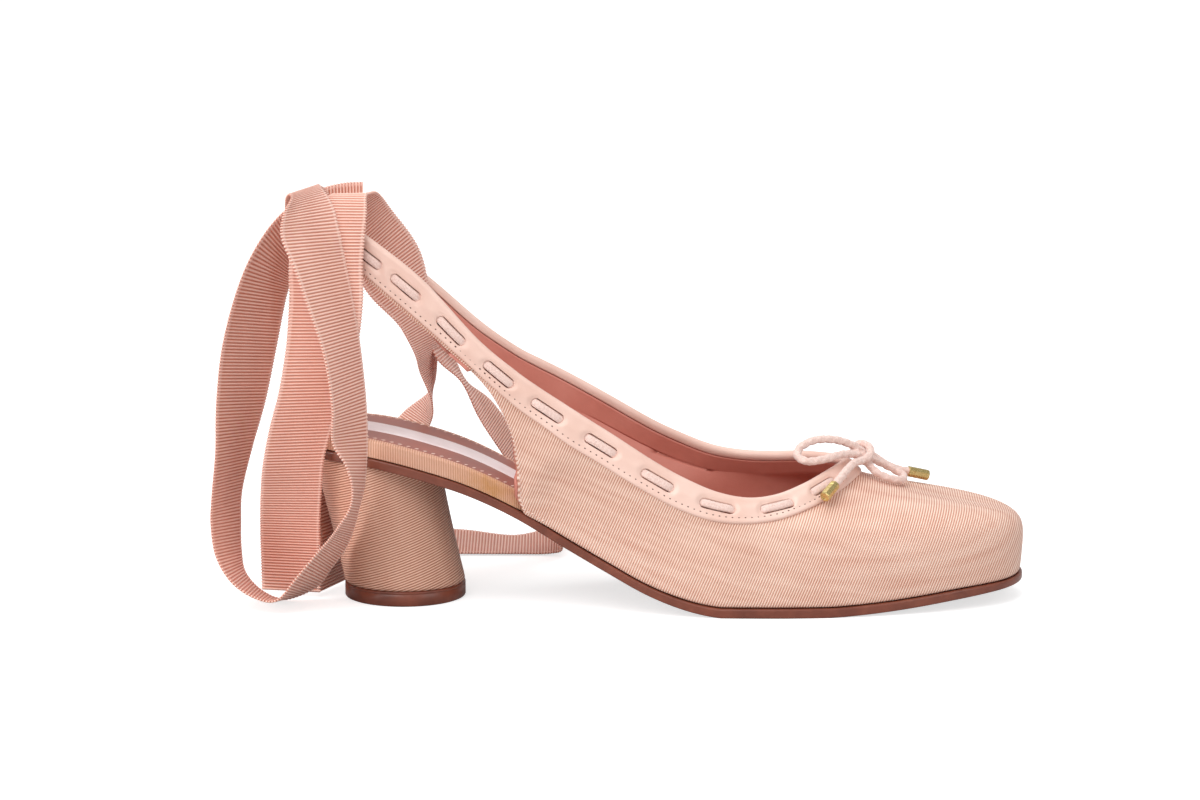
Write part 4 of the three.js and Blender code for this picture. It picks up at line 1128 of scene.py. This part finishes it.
def make_label_strip():
    """Plain strip along the middle of the seat."""
    x = np.linspace(*STRIP_ENDS, 90)
    edge = STRIP_HALF - STRIP_EDGE
    y = np.array([-STRIP_HALF, -edge, -STRIP_HALF * 0.5, 0.0, STRIP_HALF * 0.5, edge, STRIP_HALF])
    grid = np.zeros((len(x), len(y), 3))
    grid[..., 0] = x[:, None]
    grid[..., 1] = y[None]
    face = sole_z(grid[..., 0]) + board_top(grid[..., 0]) + SOCK_PROUD
    grid[..., 2] = face + STRIP_THICK
    grid[:, [0, -1], 2] -= 0.12
    under = grid[:, ::-1].copy()
    under[..., 2] = face[:, ::-1] - 0.1
    piece = closed_section_piece("seat_strip", np.concatenate([grid, under], 1), strip_leather)
    carry(piece, "band_leather")


make_label_strip()


# Upper

def make_upper_cloth():
    row, side = upper_columns(300)
    v = np.concatenate([[0.0, 0.012, 0.03], np.linspace(0.06, 1.0, 46), [1.05]])
    base = upper_points(row, side, v)
    normals = grid_normals(base)
    tuck = UPPER_FOOT_TUCK * np.clip(1 - v / 0.03, 0, 1) ** 2
    outer = base - normals * tuck[None, :, None]
    inner = base - normals * UPPER_CLOTH_THICK
    inner[:, 0, 2] = np.maximum(inner[:, 0, 2], rest_height(inner[:, 0, 0]))
    lean = math.tan(math.radians(UPPER_RIB_LEAN))
    x, y, z = base[..., 0], base[..., 1], base[..., 2]
    uv = np.stack([x - lean * z, z + STREAK_LEAN * x + np.abs(y)], -1)
    carry(shell_piece("upper_cloth", outer, inner, upper_cloth, uv), "ribbed_fabric", "upper")


make_upper_cloth()


def make_lining():
    row, side = upper_columns(260)
    high = band_height(row, side)
    top_v = 2.0 - LINING_BELOW_TOPLINE / high
    v = np.linspace(0, 1, 34)[None] * top_v[:, None]
    base = upper_points(row, side, v)
    normals = grid_normals(base)
    inner_face = base - normals * UPPER_WALL
    hidden_face = base - normals * LINING_BACK
    inner_face[:, 0, 2] = np.maximum(inner_face[:, 0, 2], rest_height(inner_face[:, 0, 0]))
    uv = np.zeros(base.shape[:2] + (2,))
    carry(shell_piece("upper_lining", hidden_face, inner_face, lining_leather, uv), "lining_leather")


make_lining()


def window_rows():
    rows = np.linspace(0, LAST_ROW, 4000)
    x = band_middle(rows, -np.ones_like(rows))[:, 0]
    return [float(np.interp(at, x, rows)) for at in WINDOWS]


WINDOW_ROWS = window_rows()


def oval_distance(dx, dy, length, height):
    straight = (length - height) / 2
    return np.hypot(np.maximum(np.abs(dx) - straight, 0.0), dy) - height / 2


def make_band():
    """The band's section has places above its low edge, on its face and below its topline."""
    row, side = upper_columns(420)
    high = band_height(row, side)
    step, wall = BAND_STEP, UPPER_WALL
    roll = (step + wall) / 2
    profile = [("low", 0.5, -0.4), ("low", 0.0, 0.05), ("low", 0.0, 0.55), ("low", 0.12, 0.9),
               ("low", 0.4, 1.12), ("low", 0.9, step)]
    profile += [("part", f, step) for f in np.linspace(0.0, 1.0, 20)[1:-1]]
    for angle in np.radians(np.linspace(90, -90, 11)):
        profile.append(("top", roll - roll * math.cos(angle), (step - wall) / 2 + roll * math.sin(angle)))
    profile += [("top", 2.1, -wall - 0.02), ("top", 2.6, -wall), ("top", 2.75, -wall + 0.25),
                ("top", 2.8, -wall + 0.8)]
    s = np.zeros((len(row), len(profile)))
    offset = np.zeros_like(s)
    for k, (kind, place, out) in enumerate(profile):
        if kind == "low":
            s[:, k] = place
        elif kind == "top":
            s[:, k] = high - place
        else:
            s[:, k] = 0.9 + place * (high - roll - 0.9)
        offset[:, k] = out
    v = 1 + s / high[:, None]
    base = upper_points(row, side, np.maximum(v, 1.0001))
    middle, _, up, out = band_frames(row, side)
    base = base + up[:, None] * np.minimum(s, 0.0)[..., None]
    run = run_length(middle)
    dy = s - high[:, None] / 2
    nearest = np.full_like(s, 99.0)
    for window_side in (-1, 1):
        for window in WINDOW_ROWS:
            place = window if window_side < 0 else 2 * LAST_ROW - window
            at = np.interp(place, np.where(side < 0, row, 2 * LAST_ROW - row), run)
            nearest = np.minimum(nearest, oval_distance(run[:, None] - at, dy, WINDOW_LENGTH, WINDOW_HEIGHT))
    outer_face = (offset > 0.5) & (s < high[:, None] - 0.8)
    press = 0.4 * np.exp(-(np.maximum(nearest, 0.0) / 0.7) ** 2)
    puff = 0.35 * np.exp(-(dy / 1.7) ** 2) * smoothstep(nearest, 0.3, 2.0)
    groove = 0.12 * np.exp(-((s - BAND_STITCH_LINE) / 0.5) ** 2)
    offset = offset + np.where(outer_face, puff - press - groove, 0.0)
    points = base + out[:, None] * offset[..., None]
    uv = np.stack([np.broadcast_to(run[:, None], s.shape), s], -1)
    piece = closed_section_piece("collar_band", points, band_leather, uv)
    cutter = make_window_cutter()
    cut = piece.modifiers.new("windows", "BOOLEAN")
    cut.operation = "DIFFERENCE"
    cut.solver = "EXACT"
    cut.object = cutter
    result = finished_mesh(piece)
    piece.modifiers.clear()
    old = piece.data
    piece.data = result
    bpy.data.meshes.remove(old)
    bpy.data.objects.remove(cutter)
    carry(piece, "band_leather")


def make_window_cutter():
    """One oval bar for each window, standing in the band down to its pocket's floor."""
    points, faces = [], []
    straight = (WINDOW_LENGTH - WINDOW_HEIGHT) / 2
    half = np.linspace(-math.pi / 2, math.pi / 2, 13)
    outline = [(straight + WINDOW_HEIGHT / 2 * math.cos(a), WINDOW_HEIGHT / 2 * math.sin(a)) for a in half]
    outline += [(-straight - WINDOW_HEIGHT / 2 * math.cos(a), -WINDOW_HEIGHT / 2 * math.sin(a)) for a in half]
    for window_side in (-1.0, 1.0):
        for window in WINDOW_ROWS:
            at, along, up, out = [value[0] for value in band_frames([window], [window_side])]
            start = len(points)
            for depth in (POCKET_FLOOR, WINDOW_CUT_OUT_TO):
                points += [at + along * a + up * b + out * depth for a, b in outline]
            count = len(outline)
            faces.append([start + k for k in range(count - 1, -1, -1)])
            faces.append([start + count + k for k in range(count)])
            faces += [[start + k, start + (k + 1) % count, start + count + (k + 1) % count, start + count + k]
                      for k in range(count)]
    return settle(add_mesh("window_cutter", points, faces, band_leather))


make_band()


def make_lace():
    """Flat fuzzy lace inside the band that swells out through each window."""
    rows, outs, sides_of = [], [], []
    for side in (-1.0, 1.0):
        row = np.linspace(0.35, LAST_ROW, 520)
        run = run_length(band_middle(row, side * np.ones_like(row)))
        lift = np.full(len(row), -LACE_SUNK)
        for window in WINDOW_ROWS:
            at = np.interp(window, row, run)
            bulge = 1 - np.clip(np.abs(run - at) / (WINDOW_LENGTH / 2 - 0.1), 0, 1) ** 4
            lift = np.maximum(lift, -LACE_SUNK + LACE_SWELL * bulge)
        if side > 0:
            row, lift = row[::-1][1:], lift[::-1][1:]
        rows.append(row)
        outs.append(lift)
        sides_of.append(side * np.ones(len(row)))
    row, lift, side = np.concatenate(rows), np.concatenate(outs), np.concatenate(sides_of)
    at, _, up, out = band_frames(row, side)
    middle = at + out * lift[:, None]
    run = run_length(middle)
    angle = np.linspace(0, 2 * math.pi, LACE_SIDES, endpoint=False)
    c, s = np.cos(angle), np.sin(angle)
    turn = 2 * math.pi * run[:, None] / LACE_LAY
    relief = LACE_RELIEF * np.maximum(np.cos(turn + 3 * angle), np.cos(turn - 3 * angle + math.pi))
    wide = (LACE_HALF_WIDE + relief) * np.sign(c) * np.abs(c) ** 0.8
    thick = (LACE_HALF_THICK + relief) * np.sign(s) * np.abs(s) ** 0.8
    sections = middle[:, None] + up[:, None] * wide[..., None] + out[:, None] * thick[..., None]
    carry(closed_section_piece("collar_cord", sections, cord_yarn), "band_leather", "collar_lace")


make_lace()


def make_needle_holes():
    row, side = upper_columns(900)
    above_edge = 1 + BAND_STITCH_LINE / band_height(row, side)
    base = upper_points(row, side, above_edge[:, None])[:, 0]
    out = band_frames(row, side)[3]
    line = base + out * (BAND_STEP - NEEDLE_HOLE_SUNK)
    places, points, direction = spaced(line, NEEDLE_HOLE_SPACING, 2.0)
    outward = unit(read_off(places, run_length(line), out))
    # The holes are dark ovals in the band: painted shade.
    make_marks("band_needle_holes", points, outward, direction, NEEDLE_HOLE, painted_hole_shade, "band_leather")


make_needle_holes()


def make_quarter_edge():
    """Oblique stitches down the quarters' back edges."""
    points, outward, along = [], [], []
    for side in (-1.0, 1.0):
        row = np.linspace(3.2, 7.9, 400)
        grid = upper_points(row, side * np.ones_like(row), [0.0, 0.03, 0.06])
        line = grid[:, 1]
        length = run_length(line)
        places, at, direction = spaced(line, EDGE_STITCH_SPACING, 1.0)
        out = unit(read_off(places, length, grid_normals(grid)[:, 1]))
        out = out * np.where(out[:, 1:2] * side > 0, 1.0, -1.0)
        inwards = unit(read_off(places, length, unit(grid[:, 2] - grid[:, 0])))
        points.append(at + inwards * EDGE_STITCH_SET_IN + out * EDGE_STITCH_PROUD)
        outward.append(out)
        along.append(unit(direction + inwards * EDGE_STITCH_SLANT))
    points, outward, along = (np.concatenate(part) for part in (points, outward, along))
    make_marks("quarter_edge_stitches", points, outward, along, EDGE_STITCH, thread, "ribbed_fabric")


make_quarter_edge()


# Ribbons

def make_ribbon(name, node, table):
    middle = [entry[0] for entry in table]
    across = [entry[1] for entry in table]
    width = [entry[2] if len(entry) > 2 else RIBBON_WIDTH for entry in table]
    dense_place = np.linspace(0, len(table) - 1, DENSE * len(table))
    dense_length = run_length(spline_at(middle, dense_place))
    run = np.arange(0.0, dense_length[-1], RIB_PITCH / 6)
    place = np.interp(run, dense_length, dense_place)
    cross = unit(spline_at(across, place))
    half = spline_at(width, place) / 2
    u = np.array([-1.0, -0.97, -0.93, -0.86, -0.7, -0.5, -0.25, 0.0, 0.25, 0.5, 0.7, 0.86, 0.93, 0.97, 1.0])
    wave = np.cos(2 * math.pi * run / RIB_PITCH)[:, None]
    at_edge = np.abs(u) > 0.99
    reach = half[:, None] * u + np.sign(u) * at_edge * 0.22 * wave
    surface = spline_at(middle, place)[:, None] + cross[:, None] * reach[..., None]
    selvedge = 0.1 * np.exp(-((np.abs(u) - 0.95) / 0.03) ** 2)
    taper = np.where(at_edge, 0.45, 1.0)
    thick = (RIBBON_THICK / 2 - 0.06 + 0.09 * wave + selvedge) * taper
    offset = grid_normals(surface) * thick[..., None]
    uv = np.stack([np.broadcast_to(run[:, None], reach.shape),
                   np.broadcast_to(u * RIBBON_WIDTH / 2, reach.shape)], -1)
    piece = shell_piece(name, surface + offset, surface - offset, ribbon_cloth, uv)
    carry(piece, "grosgrain_ribbon", node)


make_ribbon("looped_tie", "ribbon_tie_looped", TIE_ONE)
make_ribbon("crossed_tie", "ribbon_tie_crossed", TIE_TWO)


# Floor and light

def camera_only(tree, low, high):
    """A strength that is high for the camera's own rays and low for all light."""
    path = put(tree, "ShaderNodeLightPath")
    return maths(tree, "MULTIPLY_ADD", path.outputs["Is Camera Ray"], high - low, low)


def make_floor():
    material, tree, shader = blank_material("pale_floor", 0.9)
    feed(tree, shader, Base_Color=(0.6, 0.6, 0.6, 1.0), Emission_Color=(1.0, 1.0, 1.0, 1.0),
         Emission_Strength=camera_only(tree, 0.0, 0.68))
    mesh = bpy.data.meshes.new("pale_floor")
    corners = [(x * FLOOR_HALF, y * FLOOR_HALF, 0) for x, y in ((-1, -1), (1, -1), (1, 1), (-1, 1))]
    mesh.from_pydata(corners, [], [(0, 1, 2, 3)])
    mesh.materials.append(material)
    link_object("pale_floor", mesh)


def make_world():
    world = bpy.data.worlds.new("studio")
    world.use_nodes = True
    background = world.node_tree.nodes["Background"]
    background.inputs[0].default_value = (1.0, 1.0, 1.0, 1.0)
    world.node_tree.links.new(camera_only(world.node_tree, 0.5, 1.05), background.inputs[1])
    bpy.context.scene.world = world


def make_lights():
    for name, place, size, power in LIGHTS:
        data = bpy.data.lights.new(name, "AREA")
        data.size = size
        data.energy = power
        light = link_object(name, data)
        light.location = place
        aim = Vector(LIGHT_AIM) - Vector(place)
        light.rotation_euler = aim.to_track_quat("-Z", "Y").to_euler()


make_floor()
make_world()
make_lights()
bpy.context.scene.view_settings.view_transform = "Standard"
